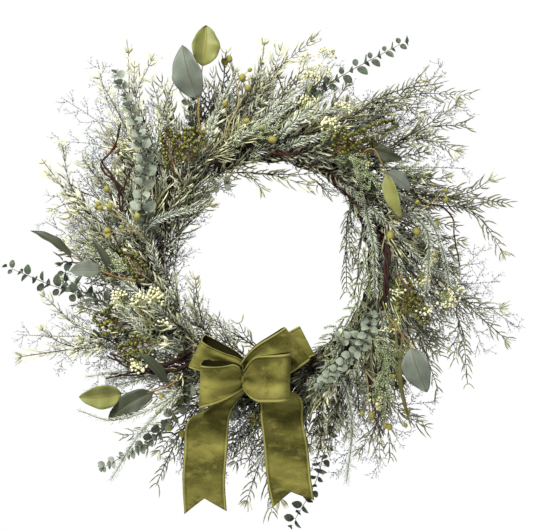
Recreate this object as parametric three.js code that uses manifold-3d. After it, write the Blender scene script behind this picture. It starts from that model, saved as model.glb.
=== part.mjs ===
// A leaf wreath: sprays of foliage, berries, buds and small cream flowers tucked into a twisted
// vine ring, with a velvet ribbon bow wired to the bottom of it. Millimetres, +Z up. The wreath
// hangs as on a door: its front faces -Y, its flat back faces +Y, and the origin is where the
// hook bears, at the top of the ring's inner side.
import * as THREE from 'three';
import { mergeVertices } from 'three/addons/utils/BufferGeometryUtils.js';
import Module from 'manifold-3d';

const wasm = await Module();
wasm.setup();

// Driving dimensions.
const ringRadius = 151; // a twelve-inch ring, measured to the middle of the bundle
const bundleRadius = 16; // at the grooves between the vines
const strandRelief = 4; // how far each vine stands out of the bundle
const strandCount = 5;
const strandShift = 12; // how many vines' widths the bundle twists in one round
const backPlane = 14; // the ring is pressed flat where it lies on the door
const ringSteps = 32;
const twigRadius = 2.2;
const ribbonThickness = 1.5;
const wireRadius = 0.8;
const gap = 0.3; // between pieces that touch
const weldDistance = 0.0002;
const roundLeafThickness = 1.6;
const bigBladeThickness = 1.1;
const ringCentreHeight = -(ringRadius - bundleRadius - strandRelief);

// Every place below is given as [right, up, out], in millimetres from the ring's centre.
const place = ([right, up, out]) => new THREE.Vector3(right, -out, up + ringCentreHeight);
const places = (list) => list.map(place);

// Seeded random numbers, so that the wreath is the same each time.
let seed = 22;
function random(low, high) {
  seed = (Math.imul(seed, 1664525) + 1013904223) >>> 0;
  return low + (high - low) * (seed / 4294967296);
}

// Solids: each three.js geometry becomes a closed solid that can be joined and cut.
function solidOf(geometry) {
  const bare = geometry.clone();
  bare.deleteAttribute('normal');
  bare.deleteAttribute('uv');
  const merged = mergeVertices(bare, 1e-4);
  const corners = new Uint32Array(merged.index.array);
  const vertProperties = new Float32Array(merged.attributes.position.array);
  const solid = new wasm.Manifold(new wasm.Mesh({ numProp: 3, vertProperties, triVerts: corners }));
  if (solid.volume() > 0) return solid;
  for (let i = 0; i < corners.length; i += 3) {
    [corners[i + 1], corners[i + 2]] = [corners[i + 2], corners[i + 1]];
  }
  return new wasm.Manifold(new wasm.Mesh({ numProp: 3, vertProperties, triVerts: corners }));
}

// Corners closer than the weld distance become one, and the slivers between them go.
function geometryOf(solid) {
  const { vertProperties, triVerts } = solid.getMesh();
  const geometry = new THREE.BufferGeometry();
  geometry.setAttribute('position', new THREE.BufferAttribute(vertProperties, 3));
  geometry.setIndex(new THREE.BufferAttribute(triVerts, 1));
  const welded = mergeVertices(geometry, weldDistance);
  const corners = welded.index.array;
  const kept = [];
  for (let i = 0; i < corners.length; i += 3) {
    const [a, b, c] = [corners[i], corners[i + 1], corners[i + 2]];
    if (a !== b && b !== c && c !== a) kept.push(a, b, c);
  }
  welded.setIndex(kept);
  welded.computeVertexNormals();
  return welded;
}

function joined(solids) {
  return solids.reduce((whole, solid) => whole.add(solid));
}

// The largest body of a solid: loose scraps go, and a sealed hollow is filled.
function mainBody(solid) {
  const bodies = solid.decompose();
  return bodies.reduce((best, body) => (body.volume() > best.volume() ? body : best));
}

function polygon(radius, sides) {
  const corners = [];
  for (let i = 0; i < sides; i += 1) {
    const angle = (2 * Math.PI * i) / sides;
    corners.push(new THREE.Vector2(radius * Math.cos(angle), radius * Math.sin(angle)));
  }
  return new THREE.Shape(corners);
}

// A stem: a tube along a smooth curve that grows thinner towards its tip.
function stemSolid(points, rootRadius, tipRadius, sides, steps) {
  const path = new THREE.CatmullRomCurve3(points);
  const geometry = new THREE.ExtrudeGeometry(polygon(rootRadius, sides), { steps, extrudePath: path });
  const stations = path.getSpacedPoints(steps);
  const position = geometry.attributes.position;
  const point = new THREE.Vector3();
  for (let i = 0; i < position.count; i += 1) {
    point.fromBufferAttribute(position, i);
    const distances = stations.map((station) => station.distanceTo(point));
    const nearest = distances.indexOf(Math.min(...distances));
    const share = 1 + ((tipRadius / rootRadius - 1) * nearest) / steps;
    point.sub(stations[nearest]).multiplyScalar(share).add(stations[nearest]);
    position.setXYZ(i, point.x, point.y, point.z);
  }
  return solidOf(geometry);
}

// A sheet: rows of points across it, given a thickness, split into triangles alike on both faces.
function sheetSolid(rows, thickness) {
  const across = rows[0].length;
  const corners = [];
  const normal = new THREE.Vector3();
  const along = new THREE.Vector3();
  const sideways = new THREE.Vector3();
  const faces = [1, -1];
  for (const face of faces) {
    rows.forEach((row, r) => {
      row.forEach((point, c) => {
        along.subVectors(rows[Math.min(r + 1, rows.length - 1)][c], rows[Math.max(r - 1, 0)][c]);
        sideways.subVectors(row[Math.min(c + 1, across - 1)], row[Math.max(c - 1, 0)]);
        normal.crossVectors(along, sideways).setLength((face * thickness) / 2);
        corners.push(point.x + normal.x, point.y + normal.y, point.z + normal.z);
      });
    });
  }
  const other = rows.length * across;
  const index = [];
  const quad = (a, b, c, d) => index.push(a, b, d, b, c, d);
  for (let r = 0; r + 1 < rows.length; r += 1) {
    for (let c = 0; c + 1 < across; c += 1) {
      const a = r * across + c;
      const b = a + across;
      index.push(a, b, b + 1, a, b + 1, a + 1);
      index.push(other + a, other + b + 1, other + b, other + a, other + a + 1, other + b + 1);
    }
  }
  for (let r = 0; r + 1 < rows.length; r += 1) {
    const left = r * across;
    const right = left + across - 1;
    quad(left, other + left, other + left + across, left + across);
    quad(right, right + across, other + right + across, other + right);
  }
  for (let c = 0; c + 1 < across; c += 1) {
    const last = (rows.length - 1) * across + c;
    quad(c, c + 1, other + c + 1, other + c);
    quad(last, other + last, other + last + 1, last + 1);
  }
  const geometry = new THREE.BufferGeometry();
  geometry.setAttribute('position', new THREE.Float32BufferAttribute(corners, 3));
  geometry.setIndex(index);
  return solidOf(geometry);
}

// The organs are drawn one unit long, growing along +Y from a root at the origin, facing +Z.
const needleForm = new THREE.ConeGeometry(1, 1, 3).translate(0, 0.5, 0);
const ballForm = new THREE.IcosahedronGeometry(1, 0);
const budForm = new THREE.OctahedronGeometry(1, 0);

// A round leaf, thickest in the middle: a fan of faces from its outline to each side's middle.
const roundLeafForm = (() => {
  const outline = [[0, 0], [0.44, 0.36], [0.34, 0.92], [-0.34, 0.92], [-0.44, 0.36]];
  const corners = [];
  for (const side of [0.5, -0.5]) {
    outline.forEach((corner, i) => {
      const next = outline[(i + 1) % outline.length];
      const edge = side > 0 ? [corner, next] : [next, corner];
      corners.push(...edge[0], 0, ...edge[1], 0, 0, 0.5, side);
    });
  }
  const form = new THREE.BufferGeometry();
  form.setAttribute('position', new THREE.Float32BufferAttribute(corners, 3));
  return form;
})();

// A head of florets: the hollows between them go in towards a smaller core.
const flowerHeadForm = (() => {
  const tips = new THREE.OctahedronGeometry(1, 0).attributes.position;
  const corners = [];
  for (let i = 0; i < tips.count; i += 3) {
    const face = [i, i + 1, i + 2].map((k) => new THREE.Vector3().fromBufferAttribute(tips, k));
    const hollow = face[0].clone().add(face[1]).add(face[2]).setLength(0.45);
    face.forEach((tip, k) => {
      for (const point of [tip, face[(k + 1) % 3], hollow]) corners.push(point.x, point.y, point.z);
    });
  }
  const form = new THREE.BufferGeometry();
  form.setAttribute('position', new THREE.Float32BufferAttribute(corners, 3));
  return form;
})();

// Puts a form at a root, growing along a direction and facing a way, stretched to its size.
function organSolid(form, root, direction, facing, size) {
  const up = direction.clone().normalize();
  const sideways = new THREE.Vector3().crossVectors(up, facing);
  if (sideways.lengthSq() < 1e-6) sideways.crossVectors(up, new THREE.Vector3(0.3, 0.5, 0.8));
  sideways.normalize();
  const front = new THREE.Vector3().crossVectors(sideways, up);
  const matrix = new THREE.Matrix4().makeBasis(sideways, up, front).scale(size).setPosition(root);
  return solidOf(form.clone().applyMatrix4(matrix));
}

// A large leaf: a blade folded along its midrib and drooping to its tip.
const leafRows = [[0, 0.05], [0.25, 0.85], [0.62, 0.95], [1, 0.06]];
const leafFold = 0.18;

function bigLeafSolid({ root, tip, width, turn = 0, droop = 0.08 }, grow) {
  const direction = tip.clone().sub(root);
  const length = direction.length();
  direction.normalize();
  const facing = new THREE.Vector3(0, -1, 0).applyAxisAngle(direction, THREE.MathUtils.degToRad(turn));
  const sideways = new THREE.Vector3().crossVectors(direction, facing).normalize();
  facing.crossVectors(sideways, direction);
  const rows = leafRows.map(([share, spread]) => {
    const half = (width * spread) / 2 + grow;
    return [-1, 0, 1].map((side) => {
      const lift = Math.abs(side) * half * leafFold * 2 + droop * length * Math.sin(Math.PI * share);
      const point = root.clone().addScaledVector(direction, share * length);
      return point.addScaledVector(sideways, side * half).addScaledVector(facing, lift);
    });
  });
  return sheetSolid(rows, bigBladeThickness + 2 * grow);
}

// The vine ring: a bundle of vines twisted together, and wild ends that stand out of it.
function bundleSolid(grow) {
  const around = 2 * strandCount;
  const geometry = new THREE.TorusGeometry(ringRadius, 1, around, ringSteps);
  const position = geometry.attributes.position;
  let i = 0;
  for (let side = 0; side <= around; side += 1) {
    const radius = (side % 2 === 0 ? bundleRadius + strandRelief : bundleRadius) + grow;
    for (let step = 0; step <= ringSteps; step += 1) {
      const angle = (2 * Math.PI * step) / ringSteps;
      const wind = (2 * Math.PI * side) / around + (strandShift * angle) / strandCount;
      const reach = ringRadius + radius * Math.cos(wind);
      const out = radius * Math.sin(wind);
      position.setXYZ(i, ...place([reach * Math.sin(angle), reach * Math.cos(angle), out]).toArray());
      i += 1;
    }
  }
  return solidOf(geometry);
}

const wildEnds = [
  [[-142, 12, 8], [-180, 52, 27], [-198, 96, 36], [-212, 129, 36], [-197, 150, 39], [-190, 180, 40]],
  [[-84, -126, 8], [-120, -139, 27], [-160, -141, 30], [-206, -147, 26]],
  [[-98, -116, 12], [-130, -131, 34], [-170, -133, 36], [-200, -122, 32]],
  [[-46, 152, 10], [-10, 152, 26], [30, 141, 28], [66, 158, 26], [92, 132, 8]],
  [[24, 150, 2], [28, 200, 14], [10, 256, 10]],
  [[148, 32, 10], [153, -18, 29], [146, -68, 10]],
  [[148, 50, 2], [208, 76, 18], [239, 62, 22], [252, -6, 18]],
  [[-146, 42, -4], [-200, 76, 8], [-246, 96, 14], [-274, 118, 12]],
];

function halfSpaceBehind() {
  const reach = 400;
  const slab = new THREE.BoxGeometry(2 * reach, reach, 2 * reach);
  return solidOf(slab.translate(0, backPlane + reach / 2, ringCentreHeight));
}

function wildEndsSolid(grow) {
  const ends = wildEnds.map((end) => {
    return stemSolid(places(end), twigRadius + grow, 0.5 * twigRadius + grow, 3, end.length);
  });
  return joined(ends);
}

function ringSolid(grow) {
  return mainBody(bundleSolid(grow).add(wildEndsSolid(grow)).subtract(halfSpaceBehind()));
}

// The bow: one velvet ribbon laid in four loops, gathered at the pinch, with two notched tails.
const pinch = [-31, -151, 36];
const pinchHalfWidth = 11;
const loopSteps = 8;
const tailSteps = 7;
const loops = [
  { end: [[-85, -130, 62], [-87, -187, 60]], front: 20, back: 6, lift: 5, root: 42 },
  { end: [[-84, -97, 44], [-101, -134, 40]], front: 14, back: 12, lift: 8, root: 30 },
  { end: [[31, -115, 66], [28, -176, 64]], front: 22, back: 6, lift: 0, root: 44 },
  { end: [[23, -84, 44], [56, -127, 42]], front: 10, back: 8, lift: 2, root: 31 },
];
const fifthLoop = { end: [[42, -82, 32], [62, -121, 30]], front: 6, back: 4, lift: 0, root: 24 };
const tails = [
  [
    [[-36, -160, 40], [-24, -163, 40]], [[-76, -188, 42], [-40, -181, 42]],
    [[-103, -205, 46], [-48, -199, 45]], [[-107, -240, 40], [-51, -240, 40]],
    [[-109, -282, 44], [-54, -284, 44]], [[-107, -325, 40], [-52, -321, 41]],
  ],
  [
    [[-34, -158, 36], [-20, -156, 36]], [[-12, -172, 42], [40, -170, 40]],
    [[-8, -205, 47], [47, -205, 45]], [[-4, -240, 41], [53, -238, 40]],
    [[0, -282, 46], [57, -278, 45]], [[7, -316, 42], [61, -306, 42]],
  ],
];
const notchDepth = 17;

// Rows of points along one loop: out from the pinch in front, round the end, and back behind.
function loopRows({ end: [top, bottom], front, back, lift, root }) {
  const rows = [];
  const middle = place([pinch[0], pinch[1], root]);
  const upper = place(top);
  const lower = place(bottom);
  const centre = upper.clone().add(lower).multiplyScalar(0.5);
  const half = upper.clone().sub(lower).multiplyScalar(0.5);
  for (let i = 0; i <= loopSteps; i += 1) {
    const turn = (Math.PI * i) / loopSteps;
    const outward = Math.sin(turn) ** 0.8;
    const spread = Math.min(1, pinchHalfWidth / half.length() + 1.35 * outward);
    const side = Math.cos(turn);
    const belly = Math.sin(2 * turn);
    const depth = side > 0 ? -front * belly : -back * belly;
    const row = [1, -1].map((edge) => {
      const point = middle.clone().lerp(centre, outward);
      point.addScaledVector(half, edge * spread);
      point.y += depth + (side < 0 ? 3 : -3) * (1 - outward);
      point.z += side < 0 ? lift * outward : 0;
      return point;
    });
    rows.push(row);
  }
  return rows;
}

function tailRows(edges) {
  const left = new THREE.CatmullRomCurve3(places(edges.map((pair) => pair[0])));
  const right = new THREE.CatmullRomCurve3(places(edges.map((pair) => pair[1])));
  const rows = [];
  for (let i = 0; i <= tailSteps; i += 1) {
    const a = left.getPoint(i / tailSteps);
    const b = right.getPoint(i / tailSteps);
    const middle = a.clone().lerp(b, 0.5);
    if (i === tailSteps) middle.z += notchDepth;
    rows.push([a, middle, b]);
  }
  return rows;
}

function bowSolid(ringGrown, grow) {
  const thickness = ribbonThickness + 2 * grow;
  const solids = [...loops, fifthLoop].map((loop) => sheetSolid(loopRows(loop), thickness));
  tails.forEach((edges) => solids.push(sheetSolid(tailRows(edges), thickness)));
  const knot = new THREE.SphereGeometry(1, 7, 4).scale(9 + grow, 12 + grow, pinchHalfWidth + 3 + grow);
  const [right, up, out] = pinch;
  solids.push(solidOf(knot.translate(right, -out + 2, up + ringCentreHeight)));
  return mainBody(joined(solids).subtract(ringGrown));
}

// The wire that ties the bow on: it passes over the pinch and grips the bundle above and below.
function wireSolid(ringGrown, bowGrown) {
  const [right] = pinch;
  const points = [
    [right, -118, -2], [right, -119, 22], [right, -134, 42], [right, -151, 52],
    [right, -168, 42], [right, -181, 22], [right, -184, -2],
  ];
  const wire = stemSolid(places(points), wireRadius, wireRadius, 4, 8);
  return mainBody(wire.subtract(ringGrown).subtract(bowGrown));
}

// The sprays. Each has its main stem, from inside the ring to its tip, and its side stems,
// given as [share of the main stem where it leaves, right, up, out of its tip].
const sprays = [
  { name: 'leaf_twig_top', kind: 'broad',
    stem: [[-70, 126, 10], [-84, 165, 36], [-88, 200, 42], [-83, 255, 40]],
    leaves: [
      { base: [-83, 250, 40], tip: [-78, 306, 34], width: 38, turn: 12 },
      { base: [-88, 208, 42], tip: [-109, 280, 46], width: 42, turn: -20 },
    ] },
  { name: 'leaf_twig_left', kind: 'broad',
    stem: [[-142, -26, 8], [-175, -22, 30], [-205, -14, 32], [-254, 9, 30]],
    leaves: [
      { base: [-250, 8, 30], tip: [-306, 43, 28], width: 15, turn: 40 },
      { base: [-214, -14, 32], tip: [-256, -14, 36], width: 25, turn: 25 },
      { base: [-200, -14, 32], tip: [-226, 32, 30], width: 12, turn: 30 },
    ] },
  { name: 'leaf_twig_right', kind: 'broad',
    stem: [[104, 108, 12], [122, 140, 34], [138, 146, 44], [152, 118, 52]],
    leaves: [
      { base: [151, 120, 52], tip: [171, 60, 56], width: 20, turn: 20 },
      { base: [152, 118, 51], tip: [184, 92, 44], width: 22, turn: -30 },
      { base: [134, 148, 42], tip: [174, 134, 44], width: 18, turn: 20 },
    ] },
  { name: 'leaf_twig_lower_right', kind: 'broad',
    stem: [[140, -50, 12], [165, -80, 36], [184, -106, 42]],
    leaves: [
      { base: [183, -104, 42], tip: [205, -164, 44], width: 38, turn: 15 },
      { base: [172, -90, 40], tip: [179, -192, 38], width: 12, turn: 35 },
      { base: [164, -80, 36], tip: [186, -214, 26], width: 10, turn: 25 },
    ] },
  { name: 'leaf_twig_lower_left', kind: 'broad',
    stem: [[-93, -112, 8], [-118, -152, 28], [-148, -166, 34], [-184, -168, 34]],
    leaves: [
      { base: [-182, -168, 34], tip: [-240, -173, 38], width: 33, turn: -12 },
      { base: [-144, -166, 34], tip: [-206, -205, 30], width: 30, turn: 20 },
      { base: [-125, -156, 30], tip: [-166, -112, 38], width: 16, turn: 30 },
    ] },
  { name: 'eucalyptus_left', kind: 'eucalyptus', leaf: 18, every: 24,
    stem: [[-144, 18, 12], [-162, 75, 44], [-157, 130, 52], [-170, 182, 52], [-192, 238, 44]],
    side: [] },
  { name: 'eucalyptus_far_left', kind: 'eucalyptus', leaf: 14, every: 22,
    stem: [[-145, -54, 6], [-204, -50, 24], [-270, -32, 26], [-330, -8, 20]],
    side: [[0.45, -262, -12, 20]] },
  { name: 'eucalyptus_top_right', kind: 'eucalyptus', leaf: 14, every: 22,
    stem: [[22, 150, 0], [50, 208, 18], [92, 240, 24], [172, 284, 16]], side: [] },
  { name: 'eucalyptus_lower_right', kind: 'eucalyptus', leaf: 15, every: 21,
    stem: [[138, -44, 14], [128, -95, 44], [98, -130, 50], [54, -168, 48]],
    side: [[0.35, 92, -96, 42]] },
  { name: 'eucalyptus_bottom_left', kind: 'eucalyptus', leaf: 13, every: 22,
    stem: [[-92, -120, -2], [-112, -180, 14], [-146, -226, 18], [-210, -264, 14]], side: [] },
  { name: 'eucalyptus_inner', kind: 'eucalyptus', leaf: 12, every: 19,
    stem: [[-140, 42, 4], [-112, 72, 12], [-84, 92, 14], [-56, 102, 10]], side: [] },
  { name: 'eucalyptus_bottom', kind: 'eucalyptus', leaf: 11, every: 24,
    stem: [[56, -140, -2], [80, -200, 6], [66, -278, 6], [37, -334, 2]], side: [] },
  { name: 'berries_top_left', kind: 'berries',
    stem: [[-84, 120, 8], [-98, 134, 38], [-101, 170, 48]],
    side: [[0.4, -116, 160, 50], [0.5, -86, 166, 44]] },
  { name: 'berries_top_right', kind: 'berries',
    stem: [[74, 128, 8], [92, 146, 38], [124, 166, 44]],
    side: [[0.35, 98, 168, 48], [0.5, 162, 180, 36]] },
  { name: 'berries_right', kind: 'berries',
    stem: [[148, 2, 8], [176, -24, 34], [188, -56, 40]],
    side: [[0.5, 204, -74, 38], [0.4, 176, -62, 46]] },
  { name: 'berries_left', kind: 'berries',
    stem: [[-132, -70, 6], [-184, -80, 22], [-222, -70, 26]],
    side: [[0.55, -214, -86, 30], [0.5, -204, -60, 34]] },
  { name: 'berries_lower_left', kind: 'berries',
    stem: [[-118, -94, 10], [-158, -108, 38], [-188, -112, 44]],
    side: [[0.5, -180, -128, 40], [0.45, -174, -96, 48]] },
  { name: 'flowers_top', kind: 'flowers', stem: [[34, 146, 4], [48, 200, 24], [58, 244, 26]],
    side: [[0.75, 78, 270, 24], [0.7, 51, 262, 32], [0.72, 72, 248, 34]] },
  { name: 'flowers_top_right', kind: 'flowers', stem: [[58, 138, 8], [74, 158, 38], [82, 178, 44]],
    side: [[0.5, 98, 200, 40], [0.6, 62, 186, 42]] },
  { name: 'flowers_left', kind: 'flowers',
    stem: [[-126, -84, 8], [-146, -106, 38], [-150, -66, 48], [-142, -40, 50]],
    side: [[0.3, -191, -44, 46], [0.35, -162, -48, 56], [0.35, -132, -80, 52], [0.2, -166, -130, 46]] },
  { name: 'flowers_right', kind: 'flowers',
    stem: [[150, -14, 8], [178, -20, 30], [212, -36, 34], [236, -48, 32]],
    side: [[0.3, 168, -34, 44], [0.55, 203, -58, 40], [0.75, 246, -36, 30]] },
  { name: 'buds_left', kind: 'buds',
    stem: [[-146, 14, 10], [-164, 38, 34], [-190, 58, 38], [-213, 70, 36]],
    side: [[0.4, -202, 42, 40], [0.3, -166, 56, 46], [0.7, -206, 92, 34]] },
  { name: 'buds_top', kind: 'buds',
    stem: [[-58, 138, 8], [-50, 176, 38], [-36, 210, 40], [-48, 260, 34]],
    side: [[0.5, -26, 222, 44], [0.3, -30, 182, 44], [0.2, 2, 160, 40], [0.75, -24, 248, 34]] },
  { name: 'buds_right', kind: 'buds', stem: [[140, 62, 8], [172, 62, 36], [206, 74, 38], [229, 92, 34]],
    side: [[0.35, 190, 44, 42], [0.6, 217, 53, 34], [0.25, 160, 40, 44]] },
  { name: 'buds_bottom_right', kind: 'buds',
    stem: [[106, -104, 8], [128, -140, 34], [150, -172, 36], [153, -208, 30]],
    side: [[0.4, 124, -192, 30], [0.6, 178, -208, 28], [0.35, 158, -146, 42]] },
  { name: 'buds_bottom_left', kind: 'buds',
    stem: [[-76, -128, 6], [-108, -158, 24], [-124, -186, 26], [-112, -218, 20]],
    side: [[0.5, -138, -190, 28], [0.4, -134, -172, 36]] },
  { name: 'fir_top_right', kind: 'fir', length: 9,
    stem: [[8, 148, 6], [24, 172, 26], [60, 190, 30], [110, 206, 24]], side: [[0.3, 92, 226, 10]] },
  { name: 'fir_inner_left', kind: 'fir', length: 9,
    stem: [[-150, 10, 8], [-158, 44, 28], [-126, 62, 34], [-92, 68, 30]], side: [] },
  { name: 'fir_right', kind: 'fir', length: 10,
    stem: [[146, 52, 10], [198, 66, 26], [224, 24, 28], [237, -34, 22]], side: [[0.3, 206, -36, 30]] },
  { name: 'fir_inner_right', kind: 'fir', length: 10,
    stem: [[128, 78, 10], [130, 58, 30], [138, 16, 34], [139, -42, 30]], side: [] },
  { name: 'fir_bottom_right', kind: 'fir', length: 9,
    stem: [[82, -126, 4], [104, -170, 16], [110, -220, 18], [103, -283, 12]], side: [] },
  { name: 'fir_lower_left', kind: 'fir', length: 9,
    stem: [[-70, -134, -2], [-138, -182, 8], [-196, -202, 12], [-242, -190, 8]],
    side: [[0.35, -200, -278, 6]] },
  { name: 'thuja_right', kind: 'thuja',
    stem: [[118, -88, 10], [140, -100, 28], [156, -140, 24], [150, -196, 18]],
    side: [[0.35, 172, -134, 22], [0.5, 136, -170, 22]] },
  { name: 'thuja_top_right', kind: 'thuja',
    stem: [[88, 124, 10], [104, 140, 26], [130, 116, 34], [146, 92, 34]],
    side: [[0.4, 122, 90, 30]] },
  { name: 'thuja_left', kind: 'thuja',
    stem: [[-148, -14, 6], [-180, -6, 18], [-206, 8, 20], [-232, 22, 16]],
    side: [[0.45, -226, -10, 14]] },
  { name: 'rosemary_top_left', kind: 'rosemary',
    stem: [[-128, 72, 2], [-158, 120, 20], [-176, 190, 28], [-180, 272, 20]],
    side: [[0.3, -218, 240, 14], [0.55, -150, 262, 22]] },
  { name: 'rosemary_above_left', kind: 'rosemary',
    stem: [[-110, 100, 2], [-140, 150, 14], [-134, 200, 18], [-114, 254, 12]],
    side: [[0.5, -150, 236, 8]] },
  { name: 'rosemary_left', kind: 'rosemary',
    stem: [[-150, 26, -4], [-200, 44, 8], [-246, 76, 12], [-290, 130, 8]],
    side: [[0.5, -266, 152, 10], [0.6, -278, 70, 8]] },
  { name: 'rosemary_lower_left', kind: 'rosemary',
    stem: [[-128, -82, -2], [-180, -106, 6], [-250, -112, 8], [-320, -122, 4]],
    side: [[0.25, -290, -44, 6], [0.6, -292, -88, 10]] },
  { name: 'rosemary_top', kind: 'rosemary',
    stem: [[-30, 148, -2], [-22, 190, 6], [-10, 236, 10], [-4, 284, 6]],
    side: [[0.3, 57, 290, 0], [0.5, 24, 262, 6]] },
  { name: 'rosemary_top_right', kind: 'rosemary',
    stem: [[62, 138, -2], [120, 198, 12], [170, 224, 16], [224, 234, 12]],
    side: [[0.35, 264, 219, 4], [0.5, 200, 196, 8]] },
  { name: 'rosemary_right_high', kind: 'rosemary',
    stem: [[108, 106, 0], [168, 156, 16], [214, 176, 20], [258, 180, 14]],
    side: [[0.5, 244, 146, 18], [0.55, 246, 206, 12]] },
  { name: 'rosemary_right', kind: 'rosemary',
    stem: [[144, 46, 0], [200, 82, 8], [256, 86, 10], [313, 78, 6]],
    side: [[0.5, 308, 14, 6], [0.6, 290, 108, 4]] },
  { name: 'rosemary_right_low', kind: 'rosemary',
    stem: [[150, 12, -4], [202, 0, 6], [260, -54, 8], [312, -100, 4]],
    side: [[0.3, 262, -158, 4], [0.6, 304, -60, 6]] },
  { name: 'rosemary_bottom_left', kind: 'rosemary',
    stem: [[-56, -138, -4], [-86, -180, 2], [-120, -236, 4], [-144, -288, 0]],
    side: [[0.3, -188, -226, 0], [0.5, -104, -280, 4]] },
  { name: 'rosemary_bottom', kind: 'rosemary',
    stem: [[20, -150, -6], [14, -200, -2], [-8, -256, 2], [-26, -310, 0]],
    side: [[0.4, 6, -326, -2]] },
  { name: 'rosemary_bottom_right', kind: 'rosemary',
    stem: [[118, -94, -4], [140, -150, 2], [156, -206, 4], [161, -254, 0]],
    side: [[0.4, 206, -214, 2], [0.5, 120, -248, 4]] },
  { name: 'rosemary_inner_right', kind: 'rosemary',
    stem: [[122, 88, 4], [106, 64, 10], [103, 14, 10], [104, -38, 6]],
    side: [[0.3, 118, -6, 14]] },
  { name: 'rosemary_inner_top', kind: 'rosemary',
    stem: [[-92, 116, -2], [-52, 118, 6], [0, 116, 8], [52, 102, 4]],
    side: [[0.4, -8, 98, 4], [0.6, 68, 118, 6]] },
  { name: 'rosemary_inner_bottom', kind: 'rosemary',
    stem: [[24, -146, -6], [-4, -118, -6], [-44, -92, -6], [-90, -68, -4]],
    side: [[0.4, -36, -78, -6]] },
  { name: 'mist_top_left', kind: 'mist',
    stem: [[-116, 92, -4], [-160, 136, -6], [-204, 200, -6], [-222, 264, -6]],
    side: [[0.25, -268, 216, -6], [0.2, -276, 160, -4], [0.5, -190, 250, -2], [0.3, -226, 150, 4]] },
  { name: 'mist_left', kind: 'mist',
    stem: [[-148, -6, -6], [-198, 10, -6], [-246, 30, -6], [-290, 54, -6]],
    side: [[0.3, -276, 92, -4], [0.3, -250, -24, -4], [0.5, -250, 64, 2]] },
  { name: 'mist_lower_left', kind: 'mist',
    stem: [[-132, -76, -7], [-196, -92, -8], [-262, -96, -8], [-326, -94, -8]],
    side: [[0.3, -276, -132, -6], [0.3, -222, -158, -4], [0.4, -272, -62, -6], [0.15, -198, -180, -8]] },
  { name: 'mist_bottom', kind: 'mist',
    stem: [[-18, -148, -8], [-30, -196, -8], [-56, -240, -8], [-66, -290, -8]],
    side: [[0.3, -4, -256, -8], [0.4, 16, -290, -8], [0.4, -112, -262, -8], [0.2, 26, -226, -6]] },
  { name: 'mist_bottom_right', kind: 'mist',
    stem: [[86, -124, -8], [110, -172, -8], [136, -226, -8], [147, -272, -8]],
    side: [[0.3, 62, -248, -8], [0.3, 186, -226, -8], [0.3, 96, -276, -8], [0.2, 222, -182, -8]] },
  { name: 'mist_right', kind: 'mist',
    stem: [[150, -12, -8], [210, -22, -8], [272, -46, -8], [330, -86, -8]],
    side: [[0.3, 304, -24, -6], [0.3, 286, -118, -6], [0.3, 284, 20, -6], [0.2, 232, -112, -8]] },
  { name: 'mist_top_right', kind: 'mist',
    stem: [[98, 114, -8], [146, 156, -8], [194, 212, -8], [230, 262, -8]],
    side: [[0.25, 152, 222, -8], [0.3, 232, 150, -8], [0.3, 100, 232, -4], [0.4, 264, 200, -8]] },
];

// How each kind of stem is built: its radius at root and tip, its sides, and the length of one
// joint, which carries one ring of organs.
const stemForms = {
  broad: { radii: [1.8, 1.1], sides: 3, joint: 30, colour: 0x71845a },
  eucalyptus: { radii: [1.5, 0.9], sides: 4, joint: 34, colour: 0x7f8f80 },
  berries: { radii: [1.5, 1], sides: 3, joint: 20, colour: 0x5d6a2c },
  flowers: { radii: [1.2, 0.9], sides: 3, joint: 60, colour: 0xe3dca6 },
  buds: { radii: [1.3, 0.9], sides: 3, joint: 60, colour: 0xa79a35 },
  fir: { radii: [2.2, 1.3], sides: 3, joint: 25, colour: 0x9dab92 },
  thuja: { radii: [1.6, 1], sides: 3, joint: 21, colour: 0x9db077 },
  rosemary: { radii: [1.6, 1], sides: 3, joint: 54, colour: 0x8f9a5c },
  mist: { radii: [1.5, 0.9], sides: 3, joint: 64, colour: 0xa3aaa0 },
};
const needleShare = 0.45; // a needle's radius at its root, as a share of its stem's
const rootShare = 0.4; // how far from the middle of the stem an organ starts
const nearJoint = 0.15; // an organ's place along its joint
const stalkRadius = 0.6;
const stalkReach = 10;
const berrySize = new THREE.Vector3(3, 3, 3);
const headSize = new THREE.Vector3(8, 5.5, 8);
const budSize = new THREE.Vector3(3.4, 4.4, 3.4);

// Every solid placed so far, with its box and its owner.
const taken = [];
const backLimit = backPlane - gap;

function boxesApart(a, b) {
  return [0, 1, 2].some((axis) => a.max[axis] < b.min[axis] || b.max[axis] < a.min[axis]);
}

// A stem may meet its own node's stems and, before it is trimmed, the vine bundle. An organ may
// meet its own stem and the organs of its own ring on that stem.
function isClear(grown, mayMeet) {
  const box = grown.boundingBox();
  if (box.max[1] > backLimit) return false;
  return taken.every((entry) => {
    return mayMeet(entry) || boxesApart(entry.box, box) || grown.intersect(entry.solid).isEmpty();
  });
}

function take(owner, solid, stem = null, ring = null) {
  taken.push({ owner, solid, stem, ring, box: solid.boundingBox() });
}

const ringExact = ringSolid(0);
const ringGrown = ringSolid(gap);
const bow = bowSolid(ringGrown, 0);
const wire = wireSolid(ringGrown, bowSolid(ringGrown, gap));
const bundle = bundleSolid(0);
take('vine_ring', bundle);
take('wild_ends', wildEndsSolid(0).subtract(bundle));
take('bow_ribbon', bow);
take('bow_tie_wire', wire);

// A stem is moved nearer to the viewer or to the wall until it passes every other stem.
const leafLeans = [0, 5, 10, 16, -5, 22, -10, 30];
const shifts = [0, 4, -4, 8, -8, 12, -12, 16, -16, 20, -20, 26, 32, 38];

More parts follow.
